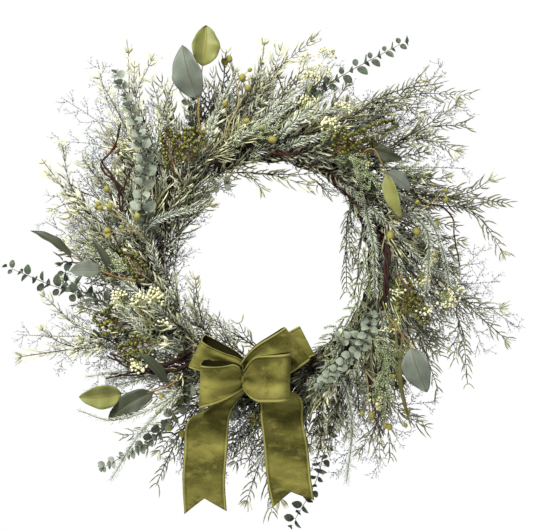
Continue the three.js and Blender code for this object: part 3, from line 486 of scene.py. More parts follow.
# %% Where the stems lie
SPRAYS = [
    ("leaf_twig_top", "broad",
     [[-70, 126, 10], [-84, 165, 36], [-88, 200, 42], [-83, 255, 40]],
     [], [([-83, 250, 40], [-78, 306, 34], 38, 12), ([-88, 208, 42], [-109, 280, 46], 42, -20)]),
    ("leaf_twig_left", "broad",
     [[-142, -26, 8], [-175, -22, 30], [-205, -14, 32], [-254, 9, 30]],
     [], [([-250, 8, 30], [-306, 43, 28], 15, 40), ([-214, -14, 32], [-256, -14, 36], 25, 25),
      ([-200, -14, 32], [-226, 32, 30], 12, 30)]),
    ("leaf_twig_right", "broad",
     [[104, 108, 12], [122, 140, 34], [138, 146, 44], [152, 118, 52]],
     [], [([151, 120, 52], [171, 60, 56], 20, 20), ([152, 118, 51], [184, 92, 44], 22, -30),
      ([134, 148, 42], [174, 134, 44], 18, 20)]),
    ("leaf_twig_lower_right", "broad",
     [[140, -50, 12], [165, -80, 36], [184, -106, 42]],
     [], [([183, -104, 42], [205, -164, 44], 38, 15), ([172, -90, 40], [179, -192, 38], 8, 35),
      ([164, -80, 36], [186, -214, 26], 10, 25)]),
    ("leaf_twig_lower_left", "broad",
     [[-93, -112, 8], [-118, -152, 28], [-148, -166, 34], [-184, -168, 34]],
     [], [([-182, -168, 34], [-240, -173, 38], 33, -12),
      ([-144, -166, 34], [-206, -205, 30], 30, 20),
      ([-125, -156, 30], [-166, -112, 38], 16, 30)]),
    ("eucalyptus_left", "eucalyptus",
     [[-144, 18, 12], [-162, 75, 44], [-157, 130, 52], [-170, 182, 52], [-192, 238, 44]],
     [], []),
    ("eucalyptus_far_left", "eucalyptus",
     [[-145, -54, 6], [-204, -50, 24], [-270, -32, 26], [-330, -8, 20]],
     [[0.45, -262, -12, 20]], []),
    ("eucalyptus_top_right", "eucalyptus",
     [[22, 150, 0], [50, 208, 18], [92, 240, 24], [172, 284, 16]],
     [], []),
    ("eucalyptus_lower_right", "eucalyptus",
     [[138, -44, 14], [128, -95, 44], [98, -130, 50], [54, -168, 48]],
     [[0.35, 92, -96, 42]], []),
    ("eucalyptus_bottom_left", "eucalyptus",
     [[-92, -120, -2], [-112, -180, 14], [-146, -226, 18], [-210, -264, 14]],
     [], []),
    ("eucalyptus_inner", "eucalyptus",
     [[-140, 42, 4], [-112, 72, 12], [-84, 92, 14], [-56, 102, 10]],
     [], []),
    ("eucalyptus_bottom", "eucalyptus",
     [[56, -140, -2], [80, -200, 6], [66, -278, 6], [37, -334, 2]],
     [], []),
    ("berries_top_left", "berries",
     [[-84, 120, 8], [-98, 134, 38], [-101, 170, 48]],
     [[0.4, -116, 160, 50], [0.5, -86, 166, 44]], []),
    ("berries_top_right", "berries",
     [[74, 128, 8], [92, 146, 38], [124, 166, 44]],
     [[0.35, 98, 168, 48], [0.5, 162, 180, 36]], []),
    ("berries_right", "berries",
     [[148, 2, 8], [176, -24, 34], [188, -56, 40]],
     [[0.5, 204, -74, 38], [0.4, 176, -62, 46]], []),
    ("berries_left", "berries",
     [[-132, -70, 6], [-184, -80, 22], [-222, -70, 26]],
     [[0.55, -214, -86, 30], [0.5, -204, -60, 34]], []),
    ("berries_lower_left", "berries",
     [[-118, -94, 10], [-158, -108, 38], [-188, -112, 44]],
     [[0.5, -180, -128, 40], [0.45, -174, -96, 48]], []),
    ("flowers_top", "flowers",
     [[34, 146, 4], [48, 200, 24], [58, 244, 26]],
     [[0.75, 78, 270, 24], [0.7, 51, 262, 32], [0.72, 72, 248, 34]], []),
    ("flowers_top_right", "flowers",
     [[58, 138, 8], [74, 158, 38], [82, 178, 44]],
     [[0.5, 98, 200, 40], [0.6, 62, 186, 42]], []),
    ("flowers_left", "flowers",
     [[-126, -84, 8], [-146, -106, 38], [-150, -66, 48], [-142, -40, 50]],
     [[0.3, -191, -44, 46], [0.35, -162, -48, 56], [0.35, -132, -80, 52],
      [0.2, -166, -130, 46]], []),
    ("flowers_right", "flowers",
     [[150, -14, 8], [178, -20, 30], [212, -36, 34], [236, -48, 32]],
     [[0.3, 168, -34, 44], [0.55, 203, -58, 40], [0.75, 246, -36, 30]], []),
    ("buds_left", "buds",
     [[-146, 14, 10], [-164, 38, 34], [-190, 58, 38], [-213, 70, 36]],
     [[0.4, -202, 42, 40], [0.3, -166, 56, 46], [0.7, -206, 92, 34]], []),
    ("buds_top", "buds",
     [[-58, 138, 8], [-50, 176, 38], [-36, 210, 40], [-48, 260, 34]],
     [[0.5, -26, 222, 44], [0.3, -30, 182, 44], [0.2, 2, 160, 40], [0.75, -24, 248, 34]], []),
    ("buds_right", "buds",
     [[140, 62, 8], [172, 62, 36], [206, 74, 38], [229, 92, 34]],
     [[0.35, 190, 44, 42], [0.6, 217, 53, 34], [0.25, 160, 40, 44]], []),
    ("buds_bottom_right", "buds",
     [[106, -104, 8], [128, -140, 34], [150, -172, 36], [153, -208, 30]],
     [[0.4, 124, -192, 30], [0.6, 178, -208, 28], [0.35, 158, -146, 42]], []),
    ("buds_bottom_left", "buds",
     [[-76, -128, 6], [-108, -158, 24], [-124, -186, 26], [-112, -218, 20]],
     [[0.5, -138, -190, 28], [0.4, -134, -172, 36]], []),
    ("fir_top_right", "fir",
     [[8, 148, 6], [24, 172, 26], [60, 190, 30], [110, 206, 24]],
     [[0.3, 92, 226, 10]], []),
    ("fir_inner_left", "fir",
     [[-150, 10, 8], [-158, 44, 28], [-126, 62, 34], [-92, 68, 30]],
     [], []),
    ("fir_right", "fir",
     [[146, 52, 10], [198, 66, 26], [224, 24, 28], [237, -34, 22]],
     [[0.3, 206, -36, 30]], []),
    ("fir_inner_right", "fir",
     [[128, 78, 10], [130, 58, 30], [138, 16, 34], [139, -42, 30]],
     [], []),
    ("fir_bottom_right", "fir",
     [[82, -126, 4], [104, -170, 16], [110, -220, 18], [103, -283, 12]],
     [], []),
    ("fir_lower_left", "fir",
     [[-70, -134, -2], [-138, -182, 8], [-196, -202, 12], [-242, -190, 8]],
     [[0.35, -200, -278, 6]], []),
    ("thuja_right", "thuja",
     [[118, -88, 10], [140, -100, 28], [156, -140, 24], [150, -196, 18]],
     [[0.35, 172, -134, 22], [0.5, 136, -170, 22]], []),
    ("thuja_top_right", "thuja",
     [[88, 124, 10], [104, 140, 26], [130, 116, 34], [146, 92, 34]],
     [[0.4, 122, 90, 30]], []),
    ("thuja_left", "thuja",
     [[-148, -14, 6], [-180, -6, 18], [-206, 8, 20], [-232, 22, 16]],
     [[0.45, -226, -10, 14]], []),
    ("rosemary_top_left", "rosemary",
     [[-128, 72, 2], [-158, 120, 20], [-176, 190, 28], [-180, 272, 20]],
     [[0.3, -218, 240, 14], [0.55, -150, 262, 22]], []),
    ("rosemary_above_left", "rosemary",
     [[-110, 100, 2], [-140, 150, 14], [-134, 200, 18], [-114, 254, 12]],
     [[0.5, -150, 236, 8]], []),
    ("rosemary_left", "rosemary",
     [[-150, 26, -4], [-200, 44, 8], [-246, 76, 12], [-290, 130, 8]],
     [[0.5, -266, 152, 10], [0.6, -278, 70, 8]], []),
    ("rosemary_lower_left", "rosemary",
     [[-128, -82, -2], [-180, -106, 6], [-250, -112, 8], [-320, -122, 4]],
     [[0.25, -290, -44, 6], [0.6, -292, -88, 10]], []),
    ("rosemary_top", "rosemary",
     [[-30, 148, -2], [-22, 190, 6], [-10, 236, 10], [-4, 284, 6]],
     [[0.3, 57, 290, 0], [0.5, 24, 262, 6]], []),
    ("rosemary_top_right", "rosemary",
     [[62, 138, -2], [120, 198, 12], [170, 224, 16], [224, 234, 12]],
     [[0.35, 264, 219, 4], [0.5, 200, 196, 8]], []),
    ("rosemary_right_high", "rosemary",
     [[108, 106, 0], [168, 156, 16], [214, 176, 20], [258, 180, 14]],
     [[0.5, 244, 146, 18], [0.55, 246, 206, 12]], []),
    ("rosemary_right", "rosemary",
     [[144, 46, 0], [200, 82, 8], [256, 86, 10], [313, 78, 6]],
     [[0.5, 308, 14, 6], [0.6, 290, 108, 4]], []),
    ("rosemary_right_low", "rosemary",
     [[150, 12, -4], [202, 0, 6], [260, -54, 8], [312, -100, 4]],
     [[0.3, 262, -158, 4], [0.6, 304, -60, 6]], []),
    ("rosemary_bottom_left", "rosemary",
     [[-56, -138, -4], [-86, -180, 2], [-120, -236, 4], [-144, -288, 0]],
     [[0.3, -188, -226, 0], [0.5, -104, -280, 4]], []),
    ("rosemary_bottom", "rosemary",
     [[20, -150, -6], [14, -200, -2], [-8, -256, 2], [-26, -310, 0]],
     [[0.4, 6, -326, -2]], []),
    ("rosemary_bottom_right", "rosemary",
     [[118, -94, -4], [140, -150, 2], [156, -206, 4], [161, -254, 0]],
     [[0.4, 206, -214, 2], [0.5, 120, -248, 4]], []),
    ("rosemary_inner_right", "rosemary",
     [[122, 88, 4], [106, 64, 10], [103, 14, 10], [104, -38, 6]],
     [[0.3, 118, -6, 14]], []),
    ("rosemary_inner_top", "rosemary",
     [[-92, 116, -2], [-52, 118, 6], [0, 116, 8], [52, 102, 4]],
     [[0.4, -8, 98, 4], [0.6, 68, 118, 6]], []),
    ("rosemary_inner_bottom", "rosemary",
     [[24, -146, -6], [-4, -118, -6], [-44, -92, -6], [-90, -68, -4]],
     [[0.4, -36, -78, -6]], []),
    ("mist_top_left", "mist",
     [[-116, 92, -4], [-160, 136, -6], [-204, 200, -6], [-222, 264, -6]],
     [[0.25, -268, 216, -6], [0.2, -276, 160, -4], [0.5, -190, 250, -2], [0.3, -226, 150, 4]], []),
    ("mist_left", "mist",
     [[-148, -6, -6], [-198, 10, -6], [-246, 30, -6], [-290, 54, -6]],
     [[0.3, -276, 92, -4], [0.3, -250, -24, -4], [0.5, -250, 64, 2]], []),
    ("mist_lower_left", "mist",
     [[-132, -76, -7], [-196, -92, -8], [-262, -96, -8], [-326, -94, -8]],
     [[0.3, -276, -132, -6], [0.3, -222, -158, -4], [0.4, -272, -62, -6],
      [0.15, -198, -180, -8]], []),
    ("mist_bottom", "mist",
     [[-18, -148, -8], [-30, -196, -8], [-56, -240, -8], [-66, -290, -8]],
     [[0.3, -4, -256, -8], [0.4, 16, -290, -8], [0.4, -112, -262, -8], [0.2, 26, -226, -6]], []),
    ("mist_bottom_right", "mist",
     [[86, -124, -8], [110, -172, -8], [136, -226, -8], [147, -272, -8]],
     [[0.3, 62, -248, -8], [0.3, 186, -226, -8], [0.3, 96, -276, -8], [0.2, 222, -182, -8]], []),
    ("mist_right", "mist",
     [[150, -12, -8], [210, -22, -8], [272, -46, -8], [330, -86, -8]],
     [[0.3, 304, -24, -6], [0.3, 286, -118, -6], [0.3, 284, 20, -6], [0.2, 232, -112, -8]], []),
    ("mist_top_right", "mist",
     [[98, 114, -8], [146, 156, -8], [194, 212, -8], [230, 262, -8]],
     [[0.25, 152, 222, -8], [0.3, 232, 150, -8], [0.3, 100, 232, -4], [0.4, 264, 200, -8]], []),
]
print("sprays:", len(SPRAYS))

# %% [markdown]
# ### Twigs
# A spray branches by its plant's habit. Side twigs leave a stem at regular steps, on alternate
# sides, at the plant's own angle, and shorten towards the tip. A misty filler branches twice, and
# a rosemary has a few long twigs that lie close to its stem. Berries, flowers and buds sit only on
# the ends of their twigs.

# %% Each plant's habit
# Twig rules: step between twigs, shortest and longest twig (mm), angle from the stem (degrees).
HABITS = {
    "broad": {"radius": 1.5, "twigs": []},
    "eucalyptus": {"radius": 1.1, "twigs": []},
    "berries": {"radius": 0.8, "twigs": [(1.25, 5, 13, 66)], "bare": 0.45},
    "flowers": {"radius": 0.9, "twigs": [(1.3, 9, 18, 46), (2.4, 4, 9, 60)], "bare": 0.86},
    "buds": {"radius": 1.8, "twigs": [(26, 10, 24, 44)], "bare": 0.35},
    "fir": {"radius": 1.1, "twigs": []},
    "thuja": {"radius": 1.0, "twigs": [(8, 8, 24, 46)]},
    "rosemary": {"radius": 1.45, "twigs": [(44, 24, 56, 30)], "top": 0.62},
    "strap": {"radius": 0.9, "twigs": [(22, 16, 34, 30)]},
    "mist": {"radius": 0.9, "twigs": [(12, 14, 40, 52), (7, 5, 13, 54)]},
}
TIP_SHARE = 0.4  # a stem's radius at its tip, as a share of the root's
STEM_STEP = 5 * MM  # between a stem's points
TOWARDS_VIEWER = Vector((0, -1, 0))
print("plants with a habit:", len(HABITS))


def between(a, b, c, d, t):
    """A point at a share t of the way from b to c, on a smooth curve through all four."""
    return 0.5 * (2 * b + (c - a) * t + (2 * a - 5 * b + 4 * c - d) * t * t
                  + (3 * b - a - 3 * c + d) * t ** 3)


def led_on(points):
    """The points with one more at either end, straight on, so that a curve runs through all."""
    return [points[0] * 2 - points[1], *points, points[-1] * 2 - points[-2]]


def smooth(points):
    """Points every few millimetres along a smooth curve through the given ones."""
    ends = led_on(points)
    curve = []
    for a, b, c, d in zip(ends, ends[1:], ends[2:], ends[3:]):
        steps = math.ceil((c - b).length / STEM_STEP)
        curve += [between(a, b, c, d, i / steps) for i in range(steps)]
    return curve + [points[-1]]


def length_of(curve):
    """A curve's length in metres."""
    return sum((b - a).length for a, b in zip(curve, curve[1:]))


def at(curve, share):
    """The point and the direction at a share of a curve's length."""
    left = share * length_of(curve)
    for a, b in zip(curve, curve[1:]):
        step = (b - a).length
        if left <= step:
            return a.lerp(b, left / step), (b - a).normalized()
        left -= step
    return curve[-1], (curve[-1] - curve[-2]).normalized()


def twig_from(curve, share, side, length, angle, rng):
    """A short curved twig that leaves a stem at an angle and bends back along it."""
    root, along = at(curve, share)
    across = along.cross(TOWARDS_VIEWER).normalized() * side
    lift = TOWARDS_VIEWER * rng.uniform(-0.55, 0.75)
    lean = math.radians(angle * rng.uniform(0.75, 1.2))
    out = (across + lift).normalized()
    start = along * math.cos(lean) + out * math.sin(lean)
    bend = along * 0.5 + Vector((rng.uniform(-0.2, 0.2), 0, rng.uniform(-0.25, 0.12)))
    end = (start + bend).normalized()
    return smooth([root, root + start * length * 0.5, root + (start + end * 0.9) * length * 0.52])


def branch(curve, rules, rng, bare=0.08, top=1.0):
    """All twigs of a stem, and their twigs, as (curve, order), between two shares of its length."""
    if not rules:
        return []
    (step, shortest, longest, angle), rest = rules[0], rules[1:]
    total = length_of(curve)
    made = []
    count = int(total * (top - bare) / (step * MM))
    for i in range(count):
        share = bare + (top - bare) * (i + rng.uniform(0.2, 0.8)) / count
        size = longest + (shortest - longest) * share ** 1.5
        size *= rng.uniform(0.7, 1.15) * MM
        twig = twig_from(curve, share, 1 if i % 2 else -1, size, angle, rng)
        made.append((twig, 1))
        made += [(finer, order + 1) for finer, order in branch(twig, rest, rng)]
    return made


# %% [markdown]
# ### Where stems may go
# The middle of the wreath stays open, nothing grows through the ribbon, and nothing reaches past
# the solids or into the wall. On a real wreath these stems are cut or bent back by hand; here a
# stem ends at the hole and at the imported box, and eases back behind the bow and off the wall.

# %% Limits for stems
HOLE_LOW, HOLE_HIGH, HOLE_MARGIN = place(-72, -66, 0), place(96, 84, 0), 3 * MM
EDGE = 4 * MM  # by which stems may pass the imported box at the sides
LOW_LIMIT = Vector(cad_low) + Vector((-EDGE, 0, -EDGE))
HIGH_LIMIT = Vector(cad_high) + Vector((EDGE, 0, EDGE))
print("stems stay within", [round(v, 3) for v in (*LOW_LIMIT, *HIGH_LIMIT)])


def in_hole(point):
    """Whether a point is in the clear middle of the wreath, or just beside it."""
    return (HOLE_LOW.x - HOLE_MARGIN < point.x < HOLE_HIGH.x + HOLE_MARGIN
            and HOLE_LOW.z - HOLE_MARGIN < point.z < HOLE_HIGH.z + HOLE_MARGIN)


BOW_ZONES = [
    # Where ribbon hangs: left, right, lowest, highest, and how far forward foliage may come.
    (-106, 34, -192, -78, 14), (34, 64, -138, -78, 10), (-112, -46, -350, -190, 22),
    (-8, 62, -350, -165, 22),
]
BOW_RISE, BOW_EASE = 60 * MM, 16 * MM  # foliage may come forward by so much, so far beside it


def behind_bow(point):
    """The furthest forward that foliage may be at a point: well back behind the ribbon."""
    nearest = -1.0
    for left, right, lowest, highest, out in BOW_ZONES:
        low, high = place(left, lowest, out), place(right, highest, out)
        beside = max(low.x - point.x, point.x - high.x, low.z - point.z, point.z - high.z, 0.0)
        nearest = max(nearest, low.y - BOW_RISE * (beside / BOW_EASE) ** 2)
    return nearest


def kept(curve):
    """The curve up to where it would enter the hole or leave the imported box, kept off the wall
    and behind the bow."""
    shown = []
    for point in curve:
        inside = (LOW_LIMIT.x < point.x < HIGH_LIMIT.x
                  and LOW_LIMIT.z < point.z < HIGH_LIMIT.z)
        if in_hole(point) or not inside:
            break
        nearest = max(LOW_LIMIT.y, behind_bow(point))
        shown.append(Vector((point.x, max(nearest, min(point.y, BACK - 3 * MM)), point.z)))
    return shown


def sunk(point, furthest):
    """A point eased back so that it stays within so far in front of the ring."""
    start, out = 0.6 * furthest, -point.y
    if out > start:
        out = start + (furthest - start) * math.tanh((out - start) / (furthest - start))
    return Vector((point.x, -out, point.z))


# %% A spray's stems
TWIG_SHARE = 0.68  # a twig's radius, as a share of its stem's


def grow(kind, main, sides, rng, furthest=None):
    """A spray's main stem, sides and twigs, as (curve, root radius in metres, order)."""
    habit = HABITS[kind]
    bare, top = habit.get("bare", 0.08), habit.get("top", 1.0)
    stems = [(main, 0)] + [(side, 1) for side in sides]
    stems += [(twig, order + 1) for curve, _ in stems for twig, order in
              branch(curve, habit["twigs"], rng, bare, top)]
    grown = []
    for curve, order in stems:
        if furthest:
            curve = [sunk(point, furthest) for point in curve]
        curve = kept(curve)
        if len(curve) > 1:
            grown.append((curve, habit["radius"] * MM * TWIG_SHARE ** order, order))
    return grown


# How far in front of their solids' middles these plants' sprays and these two sprays lie, in mm.
AHEAD = {"fir": 16, "thuja": 15, "fir_lower_left": 46, "thuja_right": 26}


def listed_stems(name, kind, stem, sides):
    """The main and side stems of a listed spray, at the depth where its solid lies."""
    main = smooth([place(*point) for point in stem])
    low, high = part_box(name)
    middle = (min(p.y for p in main) + max(p.y for p in main)) / 2
    shift = (low[1] + high[1]) / 2 - middle - AHEAD.get(name, AHEAD.get(kind, 0)) * MM
    count = len(main)
    main = [Vector((p.x, p.y + shift * min(1, 4 * i / count), p.z)) for i, p in enumerate(main)]
    curves = []
    for share, *end in sides:
        root, along = at(main, share)
        tip = place(*end) + Vector((0, shift, 0))
        reach = (tip - root).length
        curves.append(smooth([root, root + along * reach * 0.18 + (tip - root) * 0.36, tip]))
    return main, curves


# %% [markdown]
# ## Leaves, needles and berries
# A few small shapes repeat thousands of times, so each has only a few dozen faces. All are closed.
# The UV map runs along each leaf from its root at 0 to its tip at 1, and a face attribute marks
# the woody stalks.

# %% Small closed shapes
RIM_ANGLE = math.radians(125)  # a blade's rim is sharper, so its two sides shade apart


class Shape:
    """Collects closed pieces with their UVs and marks which are wood."""

    def __init__(self):
        self.points, self.faces, self.uvs, self.wood = [], [], [], []

    def add(self, points, faces, uvs, wood=0.0):
        """One more closed piece, with a mark on its faces."""
        first = len(self.points)
        self.points += points
        self.uvs += uvs
        self.faces += [tuple(first + i for i in face) for face in faces]
        self.wood += [wood] * len(faces)

    def spindle(self, path, radii, sides, flat=1.0, facing=TOWARDS_VIEWER, wood=0.0):
        """A closed tube that starts and ends in a point. Flat below 1 squeezes it to a blade."""
        points, uvs, faces = [path[0]], [(0.5, 0)], []
        for k in range(1, len(path) - 1):
            along = (path[k + 1] - path[k - 1]).normalized()
            across = along.cross(facing).normalized()
            up = across.cross(along)
            for s in range(sides):
                turn = TAU * s / sides
                points.append(path[k] + across * radii[k - 1] * math.cos(turn)
                              + up * radii[k - 1] * flat * math.sin(turn))
                uvs.append((0.5 + 0.5 * math.cos(turn), k / (len(path) - 1)))
        points.append(path[-1])
        uvs.append((0.5, 1))
        last = len(points) - 1
        for s in range(sides):
            t = (s + 1) % sides
            faces.append((0, 1 + s, 1 + t))
            for k in range(len(path) - 3):
                a, b = 1 + k * sides + s, 1 + k * sides + t
                faces.append((a, a + sides, b + sides, b))
            end = 1 + (len(path) - 3) * sides
            faces.append((end + s, last, end + t))
        self.add(points, faces, uvs, wood)

    def mesh(self, name):
        """The shape as a mesh whose faces point outwards."""
        data = bpy.data.meshes.new(name)
        data.from_pydata([tuple(p) for p in self.points], [], self.faces)
        layer = data.uv_layers.new(name="UVMap")
        for loop in data.loops:
            layer.data[loop.index].uv = self.uvs[loop.vertex_index]
        marks = data.attributes.new("wood", "FLOAT", "FACE")
        marks.data.foreach_set("value", self.wood)
        body = bmesh.new()
        body.from_mesh(data)
        bmesh.ops.recalc_face_normals(body, faces=body.faces)
        body.to_mesh(data)
        body.free()
        data.shade_smooth()
        data.set_sharp_from_angle(angle=RIM_ANGLE)
        return data


def around(angle, lean):
    """A direction that leans from +Z by lean, turned about Z by angle, both in degrees."""
    a, b = math.radians(angle), math.radians(lean)
    return Vector((math.cos(a) * math.sin(b), math.sin(a) * math.sin(b), math.cos(b)))


def bent(root, direction, length, towards, steps, curl):
    """Points along a needle that bends towards a direction."""
    points = []
    for i in range(steps + 1):
        t = i / steps
        points.append(root + (direction * t + towards * curl * t * t) * length * MM)
    return points


# %% [markdown]
# ### One whorl of each plant
# The organ of a plant is what sits at one step of its stem: a pair of leaves, a ring of needles or
# a berry on its stalk. Five variants of each, drawn with a fixed seed, keep the repeats from
# showing. Needles are spindles of three sides, because there are some hundred thousand of them.

# %% Whorls
UP = Vector((0, 0, 1))
ORIGIN = Vector((0, 0, 0))


def needles(rng, count, length, width, lean, sides, steps, flat, curl, spin):
    """A ring of needles: sizes in mm, how far each leans from the stem and how much it curls."""
    shape = Shape()
    first = rng.uniform(-spin, spin)
    for i in range(count):
        turn = first + 360 * i / count + rng.uniform(-24, 24)
        way = around(turn, lean * rng.uniform(0.7, 1.15))
        path = bent(ORIGIN, way, length * rng.uniform(0.65, 1.15), UP, steps, curl)
        thick = [width * MM / 2 * (0.75 if k % 2 else 1.0) for k in range(steps - 1)]
        shape.spindle(path, thick[::-1], sides, flat, facing=way.cross(UP))
    return shape


LEAF_STALK = 1.5 * MM
# A round leaf's outline, as shares of its width and length.
LEAF_OUTLINE = [(0, 0), (0.28, 0.1), (0.46, 0.3), (0.5, 0.5), (0.4, 0.74), (0.2, 0.91), (0, 1),
                (-0.2, 0.91), (-0.4, 0.74), (-0.5, 0.5), (-0.46, 0.3), (-0.28, 0.1)]


def round_leaf(shape, root, way, twist, length, width):
    """A short-stalked round leaf: one thin closed blade, folded a little along its middle."""
    across = way.cross(UP).normalized()
    up = across.cross(way)
    across = across * math.cos(math.radians(twist)) + up * math.sin(math.radians(twist))
    up = across.cross(way)
    stalk = root + way * LEAF_STALK
    points, uvs = [], []
    for x, y in LEAF_OUTLINE:
        fold = (0.34 * abs(x) - 0.1 * y * y) * length
        points.append(stalk + way * y * length + across * x * width + up * fold)
        uvs.append((x + 0.5, y))
    middle = stalk + way * length * 0.5
    points += [middle + up * 0.35 * MM, middle - up * 0.45 * MM]
    uvs += [(0.5, 0.5), (0.5, 0.5)]
    count = len(LEAF_OUTLINE)
    faces = [(k, (k + 1) % count, count) for k in range(count)]
    faces += [((k + 1) % count, k, count + 1) for k in range(count)]
    shape.add(points, faces, uvs)
    shape.spindle([root - way * MM, root + way * 0.8 * MM, stalk + way * 0.6 * MM],
                  [0.45 * MM], 3, wood=1.0)


def round_leaves(rng, length, width, lean, gap):
    """Two pairs of round leaves, one beside the stem and the next in front and behind."""
    shape = Shape()
    for i, (angle, twist) in enumerate([(0, 78), (180, -78), (78, 8), (258, -8)]):
        way = around(angle + rng.uniform(-18, 18), rng.uniform(lean - 14, lean + 12))
        size = rng.uniform(0.74, 1.18) * MM
        round_leaf(shape, UP * gap * MM * (i // 2), way, twist + rng.uniform(-52, 52),
                   length * size, width * size * rng.uniform(0.88, 1.08))
    return shape


def ball(shape, centre, radius, stretch, sides, rings, ridge=0.0):
    """A closed ball along +Z whose UV runs from its stalk end to its far end."""
    path = [centre + UP * radius * stretch * -math.cos(math.pi * k / rings)
            for k in range(rings + 1)]
    radii = [radius * math.sin(math.pi * k / rings) * (1 + ridge * (k % 2 - 0.5))
             for k in range(1, rings)]
    shape.spindle(path, radii, sides)


def berry(rng):
    """A berry whose far end carries the stub of its flower."""
    shape = Shape()
    ball(shape, UP * 1.6 * MM, 2.5 * rng.uniform(0.82, 1.1) * MM, rng.uniform(0.95, 1.12), 7, 6)
    tip = UP * 4.1 * MM
    shape.spindle([tip - UP * MM, tip, tip + UP * 0.9 * MM], [0.45 * MM], 4, wood=1.0)
    return shape


def floret(rng):
    """A tuft of a tiny flower: a bumpy low dome."""
    shape = Shape()
    ball(shape, UP * 0.8 * MM, 1.95 * rng.uniform(0.7, 1.25) * MM, 0.8, 5, 4, ridge=0.3)
    return shape


def bud(rng):
    """A bud in overlapping scales: an egg with three stepped rings."""
    shape = Shape()
    radius = 3.7 * rng.uniform(0.7, 1.15) * MM
    ball(shape, UP * radius * 0.9, radius, 1.2, 8, 8, ridge=0.22)
    return shape


# %% Each plant's organ
# Round leaves: length, width, lean and gap between pairs. Needles: count, length, width, lean,
# sides, steps, flatness, curl and first turn. Sizes in mm, angles in degrees.
ORGANS = {
    "eucalyptus": lambda rng: round_leaves(rng, 17.5, 15.5, 54, 9),
    "dark_eucalyptus": lambda rng: round_leaves(rng, 13, 10, 66, 10),
    "berries": berry,
    "flowers": floret,
    "buds": bud,
    "fir": lambda rng: needles(rng, 5, 10.5, 1.5, 58, 3, 2, 0.6, 0.3, 60),
    "thuja": lambda rng: needles(rng, 4, 5, 1.7, 46, 3, 2, 0.5, 0.3, 60),
    "rosemary": lambda rng: needles(rng, 2, 12.5, 2.6, 104, 3, 4, 0.6, 1.3, 36),
    "rosette": lambda rng: needles(rng, 7, 11.5, 2.6, 60, 3, 3, 0.6, 0.5, 60),
    "strap": lambda rng: needles(rng, 3, 24, 2.1, 44, 3, 4, 0.4, 0.6, 60),
    "mist": lambda rng: needles(rng, 2, 4.9, 1.75, 58, 3, 2, 0.6, 0.3, 60),
}
VARIANTS = 5


def organ_collection(kind):
    """The variants of a plant's organ, in a collection that no view layer shows."""
    group = bpy.data.collections.new(f"{kind}_organs")
    rng = random.Random(len(kind) * 31)
    for i in range(VARIANTS):
        name = f"{kind}_organ_{i}"
        group.objects.link(bpy.data.objects.new(name, ORGANS[kind](rng).mesh(name)))
    return group


ORGAN_GROUPS = {kind: organ_collection(kind) for kind in ORGANS}

# %% [markdown]
# ## Dressing the stems
# Geometry Nodes carries the repeats. The tree walks each stem in even steps, sets one organ at
# each, turned about the stem by a fixed angle from the last, and gives each its random tint. It
# ends in plain faces, so that the pieces are real geometry.

# %% The tree
TREE_INPUTS = {
    "Geometry": "Geometry", "Organs": "Collection", "Spacing": "Float", "Turn": "Float",
    "Root Scale": "Float", "Tip Scale": "Float", "Bare Share": "Float", "Spread": "Float",
    "Seed": "Int", "Tips Only": "Bool", "Organ Material": "Material", "Stem Material": "Material",
}
STEM_SIDES = 3


